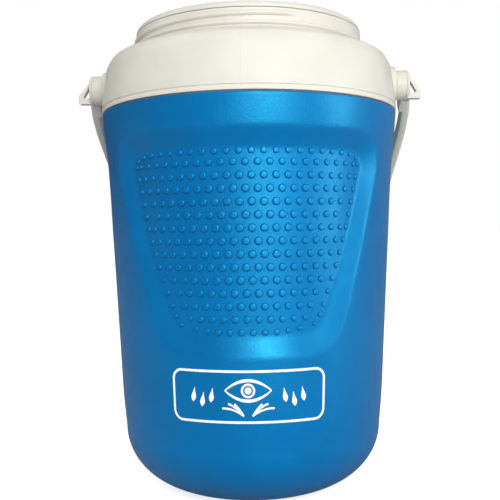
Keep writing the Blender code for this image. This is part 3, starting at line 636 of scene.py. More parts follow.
def shell_rows():
    """(radius, height, share of panel and ridge) down the outside, under the base and up the inside."""
    top_z = SHELL_TOP_Z - 0.1
    top_r = wall_radius(top_z)
    side_r = WALL_POINTS[0][1]
    rows = []
    for k in range(7):
        a = math.pi / 2 * k / 6
        rows.append((top_r - SHELL_EDGE * (1 - math.sin(a)), top_z - SHELL_EDGE * (1 - math.cos(a)), 0))
    rows += [(wall_radius(z), z, 1) for z in np.linspace(296, CORNER_H, 140)]
    rows += [(r, z, 1) for r, z in quarter((FOOT_R, 0), (side_r, CORNER_H), 30)[1:]]
    base = [(47, 0), (45, 0.15), (43.6, 0.9), (41.5, 2.6), (39.6, 3.7), (37.5, PUSH_UP_H), (24, PUSH_UP_H)]
    inner_z = PUSH_UP_H + SHELL_WALL
    base += [(11.6, PUSH_UP_H), (PLUG_HOLE_R, PUSH_UP_H), (PLUG_HOLE_R, inner_z), (38, inner_z), (43, 4)]
    rows += [(r, z, 0) for r, z in base]
    inside = quarter((FOOT_R, SHELL_WALL), (side_r - SHELL_WALL, CORNER_H), 8)
    rows += [(r, z, 1) for r, z in inside[::-1]]
    rows += [(wall_radius(z) - SHELL_WALL, z, 1) for z in np.linspace(60, 292, 15)]
    rows.append((top_r - SHELL_WALL, top_z - 0.4, 0))
    return np.array(rows)


def build_shell():
    seams = (90, 270)
    a = around(SHELL_COLUMNS, seams)
    r, z, share = (shell_rows()[:, i, None] for i in range(3))
    reach = r + share * (seam_ridge(a, seams, MOULD_LINE) - panel_depth(a, z))
    shell = skin("shell", round_jug(a, reach, z), loop=True)
    boss = [(0, SHELL_BOSS_Y), (25, SHELL_BOSS_Y, 0.9), (25.4, 103.5, 1.5), (27.5, 99.5, 2), (30, 97)]
    shell = join(shell, turned("outlet_boss", boss + [(31, 94), (0, 94)], "Y", OUTLET_AT, 128))
    install(cut(shell, rod("outlet_hole", TAIL_HOLE_R, 85, 120, "Y", OUTLET_AT)), "outer_shell")


def dot_heights():
    return [DOT_TOP_Z] + list(np.linspace(DOT_SECOND_Z, DOT_BOTTOM_Z, DOT_ROWS - 1))


def dot_spots(z, row):
    """Distances along the wall of one row's dots: a regular pitch with a dot snapped to each edge."""
    limit = 0.0
    while outline_distance(limit, z + EDGE_LIFTS.get(row, (0,))[0]) < -DOT_MARGIN:
        limit += 0.1
    start = DOT_PITCH / 2 if row % 2 == 0 else 0
    count = int((limit - start - DOT_PITCH * 0.5) / DOT_PITCH)
    spots = [start + DOT_PITCH * k for k in range(count + 1)] + [limit]
    lifts = [0] * (len(spots) - 3) + list(EDGE_LIFTS.get(row, (0, 0, 0)))[::-1]
    spots = [(spot, lift) for spot, lift in zip(spots, lifts)]
    return spots + [(-spot, lift) for spot, lift in spots if spot > 0], limit


def build_dots(name, facing):
    """All the raised dots of one grip panel, each a low button with a rounded shoulder."""
    button = ((0.5, -0.5), (0.2, 0.0), (0.0, 0.35), (-0.22, 0.68), (-0.6, 0.9), (-1.1, 0.98), (-1.9, 1.0))
    steps = 22
    a = np.linspace(0, 2 * math.pi, steps, endpoint=False)
    verts, faces = [], []
    for row, z in enumerate(dot_heights()):
        spots, limit = dot_spots(z, row)
        row_size = min(1, 0.8 + 0.08 * min(row, DOT_ROWS - 1 - row))
        floor_r = wall_radius(z) - float(floor_depth(z))
        for u, lift_z in spots:
            size = DOT_R * row_size * (1 - 0.3 * (u / limit) ** 2)
            turn = facing + u / PANEL_REF_R
            out = np.array((math.sin(turn), -math.cos(turn), 0))
            side = np.array((math.cos(turn), math.sin(turn), 0))
            middle = out * floor_r + np.array((0, 0, z + lift_z))
            base = len(verts)
            for grow, rise in button:
                r = max(0.4, size + grow * size / DOT_R)
                lift = DOT_RISE * rise * math.sqrt(size / DOT_R)
                for angle in a:
                    flat = side * r * math.cos(angle) + np.array((0, 0, r * math.sin(angle)))
                    verts.append(middle + out * lift + flat)
            faces += (np.array(ring_faces(len(button), steps)) + base).tolist()
            top = base + (len(button) - 1) * steps
            faces.append([base + k for k in range(steps)])
            faces.append([top + k for k in range(steps)][::-1])
    dots = piece(name, verts, faces)
    add_detail(dots, BODY_OF["outer_shell"], FINISHES["blue_shell"])


# === Printed pictogram ====================================
LABEL_Z, LABEL_HALF_W, LABEL_HALF_H = 89, 58, 18
INK_LIFT, INK_ROOT = 0.1, 0.3


def on_wall(u, z, lift):
    turn = u / PANEL_REF_R
    r = wall_radius(z) + lift
    return (r * math.sin(turn), -r * math.cos(turn), z)


def ribbon(path, widths, closed=False):
    """Verts and faces of a thin printed line along a path of (u, z), with a half width at each point."""
    path = np.asarray(path, float)
    if closed:
        ahead = np.roll(path, -1, 0) - np.roll(path, 1, 0)
    else:
        ahead = np.gradient(path, axis=0)
    ahead /= np.linalg.norm(ahead, axis=1)[:, None]
    side = np.stack((-ahead[:, 1], ahead[:, 0]), 1) * np.asarray(widths, float)[:, None]
    rings = []
    for spot, off in zip(path, side):
        corners = ((off, -INK_ROOT), (off, INK_LIFT), (-off, INK_LIFT), (-off, -INK_ROOT))
        rings.append([on_wall(*(spot + step), lift) for step, lift in corners])
    rows = len(rings)
    faces = ring_faces(rows, 4, closed)
    if not closed:
        faces += [(0, 1, 2, 3), tuple((rows - 1) * 4 + k for k in range(4))[::-1]]
    return np.array(rings).reshape(-1, 3), faces


def rounded_box(half_w, half_h, corner, steps=14):
    spots = []
    for k, (sx, sz) in enumerate(((1, 1), (-1, 1), (-1, -1), (1, -1))):
        for i in range(steps + 1):
            a = math.pi / 2 * (k + i / steps)
            u = sx * (half_w - corner) + corner * math.cos(a)
            spots.append((u, sz * (half_h - corner) + corner * math.sin(a)))
    dense = []
    for here, ahead in zip(spots, spots[1:] + spots[:1]):
        count = max(1, int(math.dist(here, ahead) / 2))
        dense += [np.array(here) + (np.array(ahead) - here) * k / count for k in range(count)]
    return np.array(dense)


def build_pictogram():
    """A generic eyewash sign: an eye over two water jets, inside a rounded frame."""
    centre = np.array((0, LABEL_Z))
    frame_line = rounded_box(LABEL_HALF_W, LABEL_HALF_H, 7) + centre
    shapes = [ribbon(frame_line, [0.85] * len(frame_line), True)]
    t = np.linspace(-1, 1, 33)
    eye_half, eye_z = 17, LABEL_Z + 4.5
    for sign in (1, -1):
        lid = np.stack((eye_half * t, eye_z + sign * 7.2 * (1 - t**2)), 1)
        shapes.append(ribbon(lid, 0.35 + 0.75 * (1 - t**2)))
    turn = np.linspace(0, 2 * math.pi, 36, endpoint=False)
    for radius, half in ((4.4, 0.75), (1.25, 1.2)):
        ring = np.stack((radius * np.cos(turn), eye_z + radius * np.sin(turn)), 1)
        shapes.append(ribbon(ring, [half] * len(turn), True))
    s = np.linspace(0, 1, 20)
    for sign in (1, -1):
        for spread, top in ((7, 2.5), (11.5, 4.5), (16, 3)):
            u = sign * (3.2 + spread * s)
            z = LABEL_Z - 13.5 + (9 + top) * s - 5 * s**2 * spread / 12
            shapes.append(ribbon(np.stack((u, z), 1), 0.55 + 0.15 * s))
        for k in range(3):
            u0, z0 = sign * (27 + 7 * k), LABEL_Z + 1 - 3.2 * (k % 2)
            drop = np.stack((u0 + sign * 1.6 * (s - 0.5), z0 + 5 - 10 * s), 1)
            shapes.append(ribbon(drop, 0.25 + 1.6 * np.sin(math.pi * s**1.7) ** 1.1))
    verts, faces = [], []
    for points, quads in shapes:
        faces += [[index + len(verts) for index in quad] for quad in quads]
        verts += points.tolist()
    add_detail(piece("pictogram", verts, faces), BODY_OF["outer_shell"], INK)


# === Neck collar ==========================================
def collar_rows():
    """(radius, height, is outer) of the collar's closed profile, down the outside and up the inside."""
    rows = [(NECK_BORE_R + 0.5, NECK_TOP_Z, 0), (NECK_R - 0.8, NECK_TOP_Z, 0)]
    rows.append((NECK_R - 0.2, NECK_TOP_Z - 0.25, 1))
    rows += [(NECK_R, z, 1) for z in np.arange(NECK_TOP_Z - 0.8, NECK_ROOT_Z + 0.6, -0.3)]
    side = np.array(rounded(SHOULDER, 8))
    along = np.concatenate(((0,), np.cumsum(np.hypot(*np.diff(side, axis=0).T))))
    spots = np.linspace(0, along[-1], 64)
    rows += [(r, z, 1) for r, z in zip(*(np.interp(spots, along, column) for column in side.T))]
    rows += [(119.45, 303.7, 1), (119.4, 303.1, 1), (119.75, 302.7, 1), (120, 302.3, 1), (120, 300.9, 1)]
    rows += [(119.8, 300.2, 1), (119.3, 300, 1), (116.9, 300, 0), (116.5, 299.5, 0), (115.6, 290.3, 0)]
    rows += [(115.3, 290, 0), (113.8, 290, 0), (113.8, 305.5, 0), (116.5, 308, 0)]
    rows += [(r - COLLAR_WALL, z - COLLAR_WALL, 0) for r, z, *_ in SHOULDER[4:1:-1]]
    rows += [(NECK_BORE_R, NECK_ROOT_Z - 3, 0), (NECK_BORE_R, NECK_TOP_Z - 0.5, 0)]
    return np.array(rows)


def neck_relief(a, z):
    """Height of the thread and of the bead over the neck's cylinder."""
    along = (math.radians(THREAD_DEG) - a) % (2 * math.pi)
    degrees = np.degrees(along)
    middle = THREAD_Z - THREAD_LEAD * degrees / 360
    ends = np.clip(degrees / 5, 0, 1) * np.clip((THREAD_SPAN_DEG - degrees) / 14, 0, 1)
    thread = THREAD_RISE * np.sqrt(ends) * np.clip(1 - ((z - middle) / THREAD_HALF) ** 2, 0, 1)
    bead = BEAD_RISE * np.clip(1 - ((z - BEAD_Z) / BEAD_HALF) ** 2, 0, 1)
    return np.maximum(thread, bead)


def build_collar():
    seams = (COLLAR_PARTING_DEG, COLLAR_PARTING_DEG + 180)
    a = around(COLLAR_COLUMNS, seams)
    r, z, outer = (collar_rows()[:, i, None] for i in range(3))
    neck = (outer > 0) & (z > NECK_ROOT_Z)
    reach = r + np.where(neck, neck_relief(a[None, :], z), 0) + outer * seam_ridge(a, seams, 0.1)
    reach = np.minimum(reach, COLLAR_R - 0.01)
    collar = skin("collar", round_jug(a, reach, z), loop=True, angle=32)
    bosses, holes = [], []
    for side in ("X", "-X"):
        profile = [
            (0, SPIGOT_END_X), (SPIGOT_R, SPIGOT_END_X, 0.9), (SPIGOT_R, BOSS_FACE_X, 0.6),
            (BOSS_R, BOSS_FACE_X, 1), (BOSS_R + 0.9, 111), (BOSS_R + 1.2, 106), (0, 106),
        ]  # fmt: skip
        bosses.append(turned("boss" + side, profile, side, PIVOT_AT, 128))
        holes.append(rod("stud_hole" + side, STUD_HOLE_R, 100, SPIGOT_END_X + 2, side, PIVOT_AT))
    install(cut(join(collar, *bosses), *holes), "neck_collar")


# === Liner and base plug ==================================
def build_liner():
    inner_r, inner_z = LINER_SIDE_R - LINER_WALL, LINER_FLOOR_Z + LINER_WALL
    outside = quarter((LINER_FLOOR_R, LINER_FLOOR_Z), (LINER_SIDE_R, LINER_SIDE_Z), 12)
    inside = [(0, inner_z), (35, inner_z)]
    inside += quarter((LINER_FLOOR_R, inner_z), (inner_r, LINER_SIDE_Z), 12)[::-1]
    for z in (120, 210):
        wall_r = inner_r + (z - LINER_SIDE_Z) / 60
        inside += [(wall_r, z - 1.4), (wall_r - 0.4, z, 0.5), (wall_r, z + 1.4)]
    inside += [(96.1, 300, 8), (95, 314, 8), (88, 329.3, 6), (85, 341, 6), (85, 366.5)]
    rim = [
        (85.2, 367.6), (85.8, 368.5), (86.8, RIM_TOP_Z - 0.1), (87.6, RIM_TOP_Z), (88.8, 368.7), (90, 367.9),
        (91.1, 366.7), (91.75, 365.4), (91.85, 364.4, 0.2), (91.5, 364.05, 0.2), (87.5, 364.05),
    ]  # fmt: skip
    side = [(87.5, 342, 6), (90.5, 330, 6), (97.5, 315, 8), (98.6, 300, 8)]
    liner = turned("liner", inside + rim + side + outside + [(0, LINER_FLOOR_Z)], steps=256)
    pad = rod("pad", 19, 86, 93.5, "Y", OUTLET_AT, 96, 0.8)
    hole = rod("liner_hole", TAIL_HOLE_R, 80, 98, "Y", OUTLET_AT)
    install(cut(join(liner, pad), hole), "inner_liner")


def build_foam():
    """Foam cast between the shell and the liner: it follows the panels outside and the liner inside."""
    a = around(320, ())
    side_r = wall_radius(CORNER_H) - FOAM_OFFSET
    rows = [(113.4, 304.5, 0), (113.4, 288.5, 0)]
    rows += [(wall_radius(z) - FOAM_OFFSET, z, 1) for z in np.linspace(288.2, CORNER_H, 90)]
    rows += [(r, z, 1) for r, z in quarter((FOOT_R, 7.3), (side_r, CORNER_H), 12)[1:]]
    r, z, share = (np.array(rows)[:, i, None] for i in range(3))
    foam = skin("foam", round_jug(a, r - share * panel_depth(a, z), z))
    low_z = LINER_FLOOR_Z - FOAM_GAP
    core = [(0, 345), (87.9, 345), (87.9, 342), (90.9, 330), (97.9, 315), (99, 300)]
    core += quarter((LINER_FLOOR_R, low_z), (LINER_SIDE_R + FOAM_GAP, LINER_SIDE_Z), 6)
    spaces = [turned("liner_space", core + [(0, low_z)], steps=256)]
    for name, radius, start, end in (
        ("pad", 19.4, 80, 93.9), ("boss", 31.5, 93.6, 120), ("tail", 11.8, 80, 120),
    ):  # fmt: skip
        spaces.append(rod(name + "_space", radius, start, end, "Y", OUTLET_AT, 96))
    install(cut(foam, *spaces), "foam_insulation")


def build_plug():
    """Plug in the push-up of the base, with a cross recess to turn it by."""
    profile = [(0, 6.9), (7.2, 6.9), (7.9, 6.2), (7.9, 3.7), (11, 3.7, 0.4), (11, 0, 0.9), (0, 0)]
    slots = [prism("slot", box_outline(*half), -1, 1.6, 2) for half in ((6.5, 1.1), (1.1, 6.5))]
    install(cut(turned("plug", profile), *slots), "foam_fill_plug")


def box_outline(half_a, half_b, at=(0, 0)):
    return [(at[0] + s * half_a, at[1] + t * half_b) for s, t in ((-1, -1), (1, -1), (1, 1), (-1, 1))]


# === Carry handle and strap lugs ==========================
def hanging(angle, centre_y, centre_z):
    """Maps (x, reach, across) of a part that hangs at an angle on an X axis to a point in the frame."""
    c, s = math.cos(math.radians(angle)), math.sin(math.radians(angle))

    def spot(x, reach, across):
        return np.array((x, centre_y + reach * c - across * s, centre_z + reach * s + across * c))

    return spot


def bail(name, spot, half_x, start, grip_reach, bend, arm_size, grip_size, power, lean):
    """A U-shaped bar: two arms square to an X axis, joined by a grip across. Sizes are half thickness
    and half width, and lean gives the arms' offset along X at a few distances."""
    straight = grip_reach - bend
    stations = []
    for reach in np.linspace(start, straight, 16):
        stations.append((half_x + np.interp(reach, *zip(*lean)), reach, 0, arm_size))
    corner_x = stations[-1][0] - bend
    for k in range(1, 15):
        t = math.pi / 2 * k / 14
        size = tuple(a + (b - a) * k / 14 for a, b in zip(arm_size, grip_size))
        stations.append((corner_x + bend * math.cos(t), straight + bend * math.sin(t), t, size))
    stations += [(x, grip_reach, math.pi / 2, grip_size) for x in np.linspace(corner_x, 0, 9)[1:]]
    stations += [(-x, reach, math.pi - t, size) for x, reach, t, size in stations[-2::-1]]
    across = spot(0, 0, 1) - spot(0, 0, 0)
    path = []
    for x, reach, t, (thick, width) in stations:
        out = spot(math.cos(t), math.sin(t), 0) - spot(0, 0, 0)
        path.append((spot(x, reach, 0), out, across, thick, width))
    return swept(name, path, squircle(power))


def build_handle():
    spot = hanging(HANDLE_REST_DEG, 0, PIVOT_Z)
    sizes = (ARM_HALF_THICK, ARM_HALF_W), (4.0, GRIP_HALF_W)
    bar = bail("bar", spot, ARM_X, ARM_START, GRIP_REACH, HANDLE_BEND, *sizes, 5, ARM_LEAN)
    hubs, webs, bores = [], [], []
    for side, sign in (("X", 1), ("-X", -1)):
        profile = [(0, HUB_OUT_X), (HUB_R, HUB_OUT_X, 0.25), (HUB_R, HUB_IN_X, 0.6), (0, HUB_IN_X)]
        hubs.append(turned("hub" + side, profile, side, PIVOT_AT, 128))
        web = []
        inner, outer = ARM_X - 4.6, HUB_OUT_X - 0.4
        for reach, half_w in ((8.5, 5.6), (13.5, ARM_HALF_W - 0.2), (24, ARM_HALF_W - 0.5)):
            flat = ((inner, -half_w), (outer, -half_w), (outer, half_w), (inner, half_w))
            web.append([spot(sign * x, reach, w) for x, w in flat])
        webs.append(skin("web" + side, web))
        bores.append(rod("bore" + side, HUB_BORE_R, HUB_IN_X - 5, HUB_OUT_X + 5, side, PIVOT_AT))
    bar = moulded(merged(bar, *webs), 0.75, 5)
    install(cut(join(bar, *hubs), *bores), "bail_handle")


def build_lug(node, side, sign):
    """Snap-in cap over a handle hub, with a triangular strap eyelet."""
    profile = [(0, LUG_OUT_X)]
    for k in range(9):
        a = math.pi / 2 * k / 8
        profile.append((HUB_R - 3 + 3 * math.sin(a), LUG_OUT_X - 2.2 * (1 - math.cos(a))))
    profile += [(HUB_R, LUG_IN_X), (STUD_R, LUG_IN_X, 0.3), (STUD_R, 115, 0.3), (3.9, 114.4, 0.3)]
    disc = turned("disc", profile + [(STUD_R, 113), (0, 113)], side, PIVOT_AT, 128)
    root_x, window_x = LUG_OUT_X - 1.5, LUG_OUT_X + 0.6
    outline = rounded([(root_x, -11.2), (LUG_TIP_X, -11.2, 1.6), (LUG_TIP_X, -4, 1.6), (root_x, 9)], 6)
    window = rounded([(window_x, -6.2, 0.8), (LUG_TIP_X - 3.4, -6.2, 0.9), (window_x, 4.4, 0.8)], 6)
    eyelet = prism("eyelet", [(sign * x, PIVOT_Z + z) for x, z in outline], -3.5, 3.5, 1)
    hollow = prism("hollow", [(sign * x, PIVOT_Z + z) for x, z in window], -9, 9, 1)
    install(cut(join(disc, moulded(eyelet, 0.3, 4)), hollow), node)


# === Outlet, ball valve and its arm =======================
def hex_nut(name, corner_r, bore_r, start, end, axis, at):
    """A hexagonal nut with chamfered corners."""
    nut = rod(name, corner_r, start, end, axis, at, 6)
    slope = 0.42 * (corner_r - 0.87 * corner_r)
    flat_r, full_r = corner_r * 0.88, corner_r + 0.1
    barrel = [(0, end), (flat_r, end), (full_r, end - slope * 1.6), (full_r, start + slope * 1.6)]
    barrel += [(flat_r, start), (0, start)]
    nut = boolean(nut, "INTERSECT", [turned(name + "_barrel", barrel, axis, at)])
    bore = [(0, end + 1), (bore_r + 1.4, end + 1), (bore_r, end - 0.4), (bore_r, start + 0.4)]
    bore += [(bore_r + 1.4, start - 1), (0, start - 1)]
    return cut(nut, turned(name + "_bore", bore, axis, at))


def build_valve_body():
    waist_r = BODY_R - 0.8
    profile = [
        (0, BODY_END_Y), (BODY_R, BODY_END_Y, 1), (BODY_R, 148.5, 0.5), (waist_r, 148, 0.5),
        (waist_r, FLANGE_END_Y + 3.5, 1.5), (BODY_R - 1.6, FLANGE_END_Y, 1), (FLANGE_R, FLANGE_END_Y, 0.9),
        (FLANGE_R, FLANGE_Y, 0.4), (TAIL_R, FLANGE_Y, 0.3), (TAIL_R, 66, 0.6), (0, 66),
    ]  # fmt: skip
    body = turned("valve", profile, "Y", OUTLET_AT, 128)
    right = rod("right", SIDE_BOSS_R, 8, SIDE_BOSS_X, "X", STEM_AT, 96, 0.9)
    profile = [(0, STEM_END_X), (STEM_R, STEM_END_X, 0.5), (STEM_R, 51, 0.8)]
    profile += [(SIDE_BOSS_R, SIDE_BOSS_X, 1.2), (SIDE_BOSS_R, 8), (0, 8)]
    left = turned("left", profile, "-X", STEM_AT)
    ribs = []
    for sign in (1, -1):
        for low in (6, -10.8):
            outline = box_outline(13, 1.3, (sign * 25, VALVE_Y))
            ribs.append(prism("rib", outline, OUTLET_Z + low, OUTLET_Z + low + 4.8, 2))
    body = moulded(merged(body, right, left, *ribs), 0.5, 4)
    profile = [(0, BODY_END_Y + 2), (12.2, BODY_END_Y + 2), (12.2, 119), (WATERWAY_R, 119)]
    chamber = turned("chamber", profile + [(WATERWAY_R, 60), (0, 60)], "Y", OUTLET_AT)
    stem_bore = rod("stem_bore", 5.1, 5, 50, "X", STEM_AT)
    screw_hole = rod("screw_hole", SCREW_HOLE_R, 44, 60, "-X", STEM_AT)
    install(cut(body, chamber, stem_bore, screw_hole), "valve_body")


def build_valve_insides():
    angles = [math.pi * k / 24 for k in range(25)]
    profile = [(BALL_R * math.sin(t), BALL_R * math.cos(t)) for t in angles]
    profile[0], profile[-1] = (0, BALL_R), (0, -BALL_R)
    ball = turned("ball", profile, "X", STEM_AT)
    slot = prism("ball_slot", box_outline(1.9, 4.6, (VALVE_Y, OUTLET_Z)), 8, 14)
    install(cut(ball, rod("ball_bore", 6.5, -15, 15, "Z", STEM_AT), slot), "valve_ball")

    profile = [(0, STEM_END_X), (STEM_R, STEM_END_X, 0.5), (STEM_R, 42, 0.15), (3.4, 42), (3.4, 39)]
    profile += [(STEM_R, 39, 0.15), (STEM_R, 11.6, 0.3), (0, 11.6)]
    stem = turned("stem", profile, "X", STEM_AT)
    tang = prism("tang", box_outline(1.5, 4.1, (VALVE_Y, OUTLET_Z)), 8.4, 12.5)
    install(cut(join(stem, tang), rod("stem_hole", SCREW_HOLE_R, 44, 60, "X", STEM_AT)), "valve_stem")

    turns = np.linspace(0, 2 * math.pi, 20)[:-1]
    ring = [(4.35 + 0.65 * math.cos(t), 40.5 + 1.05 * math.sin(t)) for t in turns]
    install(turned("o_ring", ring, "X", STEM_AT, 64), "stem_o_ring")
    for node, flat, sealing in (("seat_inner", 119.4, 123.2), ("seat_outer", 146.6, 142.8)):
        contact = math.sqrt((BALL_R + 0.35) ** 2 - (sealing - VALVE_Y) ** 2)
        profile = [(11.8, flat, 0.3), (WATERWAY_R, flat, 0.2), (contact, sealing, 0.2), (11.8, sealing, 0.3)]
        install(turned("seat", profile, "Y", OUTLET_AT), node)
    install(hex_nut("gland", 9.2, STEM_R + 0.4, 46.4, 50.4, "X", STEM_AT), "gland_nut")


def build_bulkhead():
    bore = TAIL_R + 0.4
    for node, outer, low, high in (("outer_gasket", 18, 107.8, 109.8), ("inner_gasket", 15, 83.8, 85.7)):
        profile = [(outer, high, 0.6), (outer, low, 0.6), (bore, low, 0.2), (bore, high, 0.2)]
        install(turned("gasket", profile, "Y", OUTLET_AT), node)
    install(hex_nut("bulkhead", 16.5, bore, 75.4, 83.4, "Y", OUTLET_AT), "bulkhead_nut")
    profile = [(0, 56.4), (7.6, 56.4), (9.2, 58.4), (9.2, 65.6), (bore, 65.6), (bore, 73), (12.6, 73, 0.5)]
    profile += [(12.6, 57.6, 1), (9, 54, 1), (0, 54)]
    strainer = turned("strainer", profile, "Y", OUTLET_AT)
    slots = []
    for k in range(6):
        slot = prism("strainer_slot", box_outline(13.5, 0.8), 58.8, 64.2, 1)
        slot.data.transform(Matrix.Rotation(math.radians(30 * k), 4, "Y"))
        slot.data.transform(Matrix.Translation(Vector(OUTLET_AT) * MM))
        slots.append(slot)
    install(cut(strainer, *slots), "intake_strainer")


def build_swing_arm():
    spot = hanging(SWING_REST_DEG, VALVE_Y, OUTLET_Z)
    arm = bail("arm", spot, 55, 6, SWING_REACH, 14, (2.5, 5.5), (4, 7), 4, ((0, 0), (88, 0)))
    hubs, bores = [], []
    for side in ("X", "-X"):
        hubs.append(rod("arm_hub" + side, SIDE_BOSS_R, 52, 57.3, side, STEM_AT, 96, 0.8))
        bores.append(rod("arm_bore" + side, STEM_R + 0.3, 46, 64, side, STEM_AT))
    ribs = []
    out, across = spot(0, 1, 0) - spot(0, 0, 0), spot(0, 0, 1) - spot(0, 0, 0)
    for k in range(-6, 7):
        ends = [spot(4.6 * k + step, SWING_REACH, 0) for step in (-0.7, 0.7)]
        ribs.append(swept("grip_rib", [(end, out, across, 4.5, 7.4) for end in ends], squircle(4)))
    arm = moulded(merged(arm, *hubs, *ribs), 0.5, 4)
    install(cut(arm, *bores), "swing_arm")


def build_arm_screw(node, side):
    profile = [(0, 60.6), (3.4, 60.5), (5, 60, 0.6), (6.2, 58.9, 0.4), (6.2, 57.7, 0.15), (1.9, 57.7)]
    screw = turned("screw", profile + [(1.9, 46), (0, 46)], side, STEM_AT, 72)
    sign = 1 if side == "X" else -1
    near, far = sorted((sign * 59.2, sign * 62))
    slots = []
    for half_y, half_z in ((2.7, 0.5), (0.5, 2.7)):
        slots.append(prism("recess", box_outline(half_y, half_z, (VALVE_Y, OUTLET_Z)), near, far))
    install(cut(screw, *slots), node)


# === Manifold, nozzles and dust caps ======================
def u_tube(name, radius, top_z, steps=40):
    """A tube that rises on both sides of a level middle run."""
    stations = [(-NOZZLE_X, z, 0) for z in (top_z, (top_z + OUTLET_Z + ELBOW_R) / 2)]
    for k in range(11):
        t = math.pi / 2 * k / 10
        x = -NOZZLE_X + ELBOW_R * (1 - math.cos(t))
        stations.append((x, OUTLET_Z + ELBOW_R * (1 - math.sin(t)), t))
    stations += [(-x, z, math.pi - t) for x, z, t in stations[::-1]]
    path = []
    for x, z, t in stations:
        path.append(((x, MANIFOLD_Y, z), (-math.cos(t), 0, -math.sin(t)), (0, 1, 0), radius, radius))
    return swept(name, path, squircle(2, steps))


def build_manifold():
    tube = u_tube("tube", MANIFOLD_R, RISER_TOP_Z)
    profile = [(0, MANIFOLD_Y), (9.6, MANIFOLD_Y), (9.6, 160, 2), (14, 158.2, 1), (15.6, 157), (15.6, 153)]
    inlet = turned("inlet", profile + [(11.8, 152.4), (11.8, 147, 0.5), (0, 147)], "Y", OUTLET_AT)
    grips = []
    for k in range(16):
        a = 2 * math.pi * k / 16
        at_rib = (15.4 * math.cos(a), 0, OUTLET_Z + 15.4 * math.sin(a))
        grips.append(rod("union_rib", 1.15, 152.5, 157.2, "Y", at_rib, 16))
    collars = []
    for x in (NOZZLE_X, -NOZZLE_X):
        collars.append(rod("collar", MANIFOLD_R + 1.3, 69.5, 73.6, "Z", (x, MANIFOLD_Y, 0), edge=0.6))
    manifold = moulded(merged(tube, inlet, *grips, *collars), 0.5, 4)
    bore = u_tube("bore", MANIFOLD_BORE_R, RISER_TOP_Z + 3)
    inlet_bore = rod("inlet_bore", 6.7, 140, MANIFOLD_Y, "Y", OUTLET_AT)
    install(cut(manifold, bore, inlet_bore), "nozzle_manifold")


def build_nozzle(side, sign):
    x = sign * NOZZLE_X
    at = (x, MANIFOLD_Y, 0)
    profile = [
        (CUP_R, CUP_TOP_Z, 0.6), (CUP_R, 97.5, 2), (10.8, 88.6, 1.5), (10.8, 87.4), (10.8, 75.6),
        (10.8, 74.5, 0.4), (8.9, 74.5), (8.9, 84.6), (6, 84.6), (6, 88.5), (12.2, 98.6), (13.4, 98.6),
        (13.4, CUP_TOP_Z, 0.4),
    ]  # fmt: skip
    cup = turned("cup", profile, "Z", at, 192, (24, 0.7, 75.5, 87.5))
    y, z = CAP_HINGE_Y, CAP_HINGE_Z
    near_y, far_y = y - KNUCKLE_R, y + KNUCKLE_R
    view = rounded(
        [
            (near_y, z + KNUCKLE_R, 2.5), (far_y, z + KNUCKLE_R, 2.5), (far_y, z - 0.3, 1), (165, z - 0.3),
            (166.4, 92), (163.5, 92, 2), (near_y, z - 2.4, 2),
        ]
    )  # fmt: skip
    cup = join(cup, *(prism("ear", view, x + near, x + near + 3) for near in (3.5, -6.5)))
    install(cut(cup, rod("pin_hole", PIN_HOLE_R, -9, 9, "X", (x, y, z), 32)), "nozzle_" + side)

    disc = turned("disc", [(13, 100.9, 0.3), (13, 98.9, 0.3), (1.3, 98.9), (1.3, 100.9)], "Z", at)
    holes = []
    for count, radius in ((6, 4.2), (12, 8)):
        for k in range(count):
            a = 2 * math.pi * k / count
            spot = (x + radius * math.cos(a), MANIFOLD_Y + radius * math.sin(a), 0)
            holes.append(rod("jet", 0.75, 95, 105, "Z", spot, 20))
    install(cut(disc, merged(*holes)), "spray_disc_" + side)

    profile = [
        (0, CAP_TOP_Z - 0.5), (12.4, CAP_TOP_Z - 0.5, 0.4), (13.2, CAP_TOP_Z, 0.5), (CAP_R, CAP_TOP_Z, 1.6),
        (CAP_R, CAP_TOP_Z - 2.4), (CAP_R, CAP_FOOT_Z + 1.5), (CAP_R, CAP_FOOT_Z, 0.3),
        (CAP_BORE_R, CAP_FOOT_Z), (CAP_BORE_R, 105.5), (0, 105.5),
    ]  # fmt: skip
    cap = turned("cap", profile, "Z", at, 288, (36, 0.45, CAP_FOOT_Z + 1.4, CAP_TOP_Z - 2.3))
    knuckle = rod("knuckle", KNUCKLE_R, -3.1, 3.1, "X", (x, y, z), 48, 0.3)
    start, end = y + 0.2, MANIFOLD_Y - CAP_R + 0.9
    neck = prism("neck", box_outline(3.05, (end - start) / 2, (x, (end + start) / 2)), z + 0.4, z + 2.5, 2)
    tab = rounded([(x - 4, 193), (x - 3, 195, 1), (x + 3, 195, 1), (x + 4, 193)])
    cap = join(cap, knuckle, neck, prism("tab", tab, z + 0.6, z + 2.4, 2))
    install(cut(cap, rod("pin_space", PIN_HOLE_R, -9, 9, "X", (x, y, z), 32)), "dust_cap_" + side)
    install(rod("pin", PIN_R, -6.5, 6.5, "X", (x, y, z), 32, 0.3), "cap_pin_" + side)


# === Stage, light and camera ==============================
def camera_switch(tree, others, camera):
    """A shader that differs between what the camera sees and what lights the object."""
    path = tree.nodes.new("ShaderNodeLightPath")
    choice = tree.nodes.new("ShaderNodeMixShader")
    tree.links.new(path.outputs["Is Camera Ray"], choice.inputs[0])
    tree.links.new(others, choice.inputs[1])
    tree.links.new(camera, choice.inputs[2])
    return choice.outputs[0]


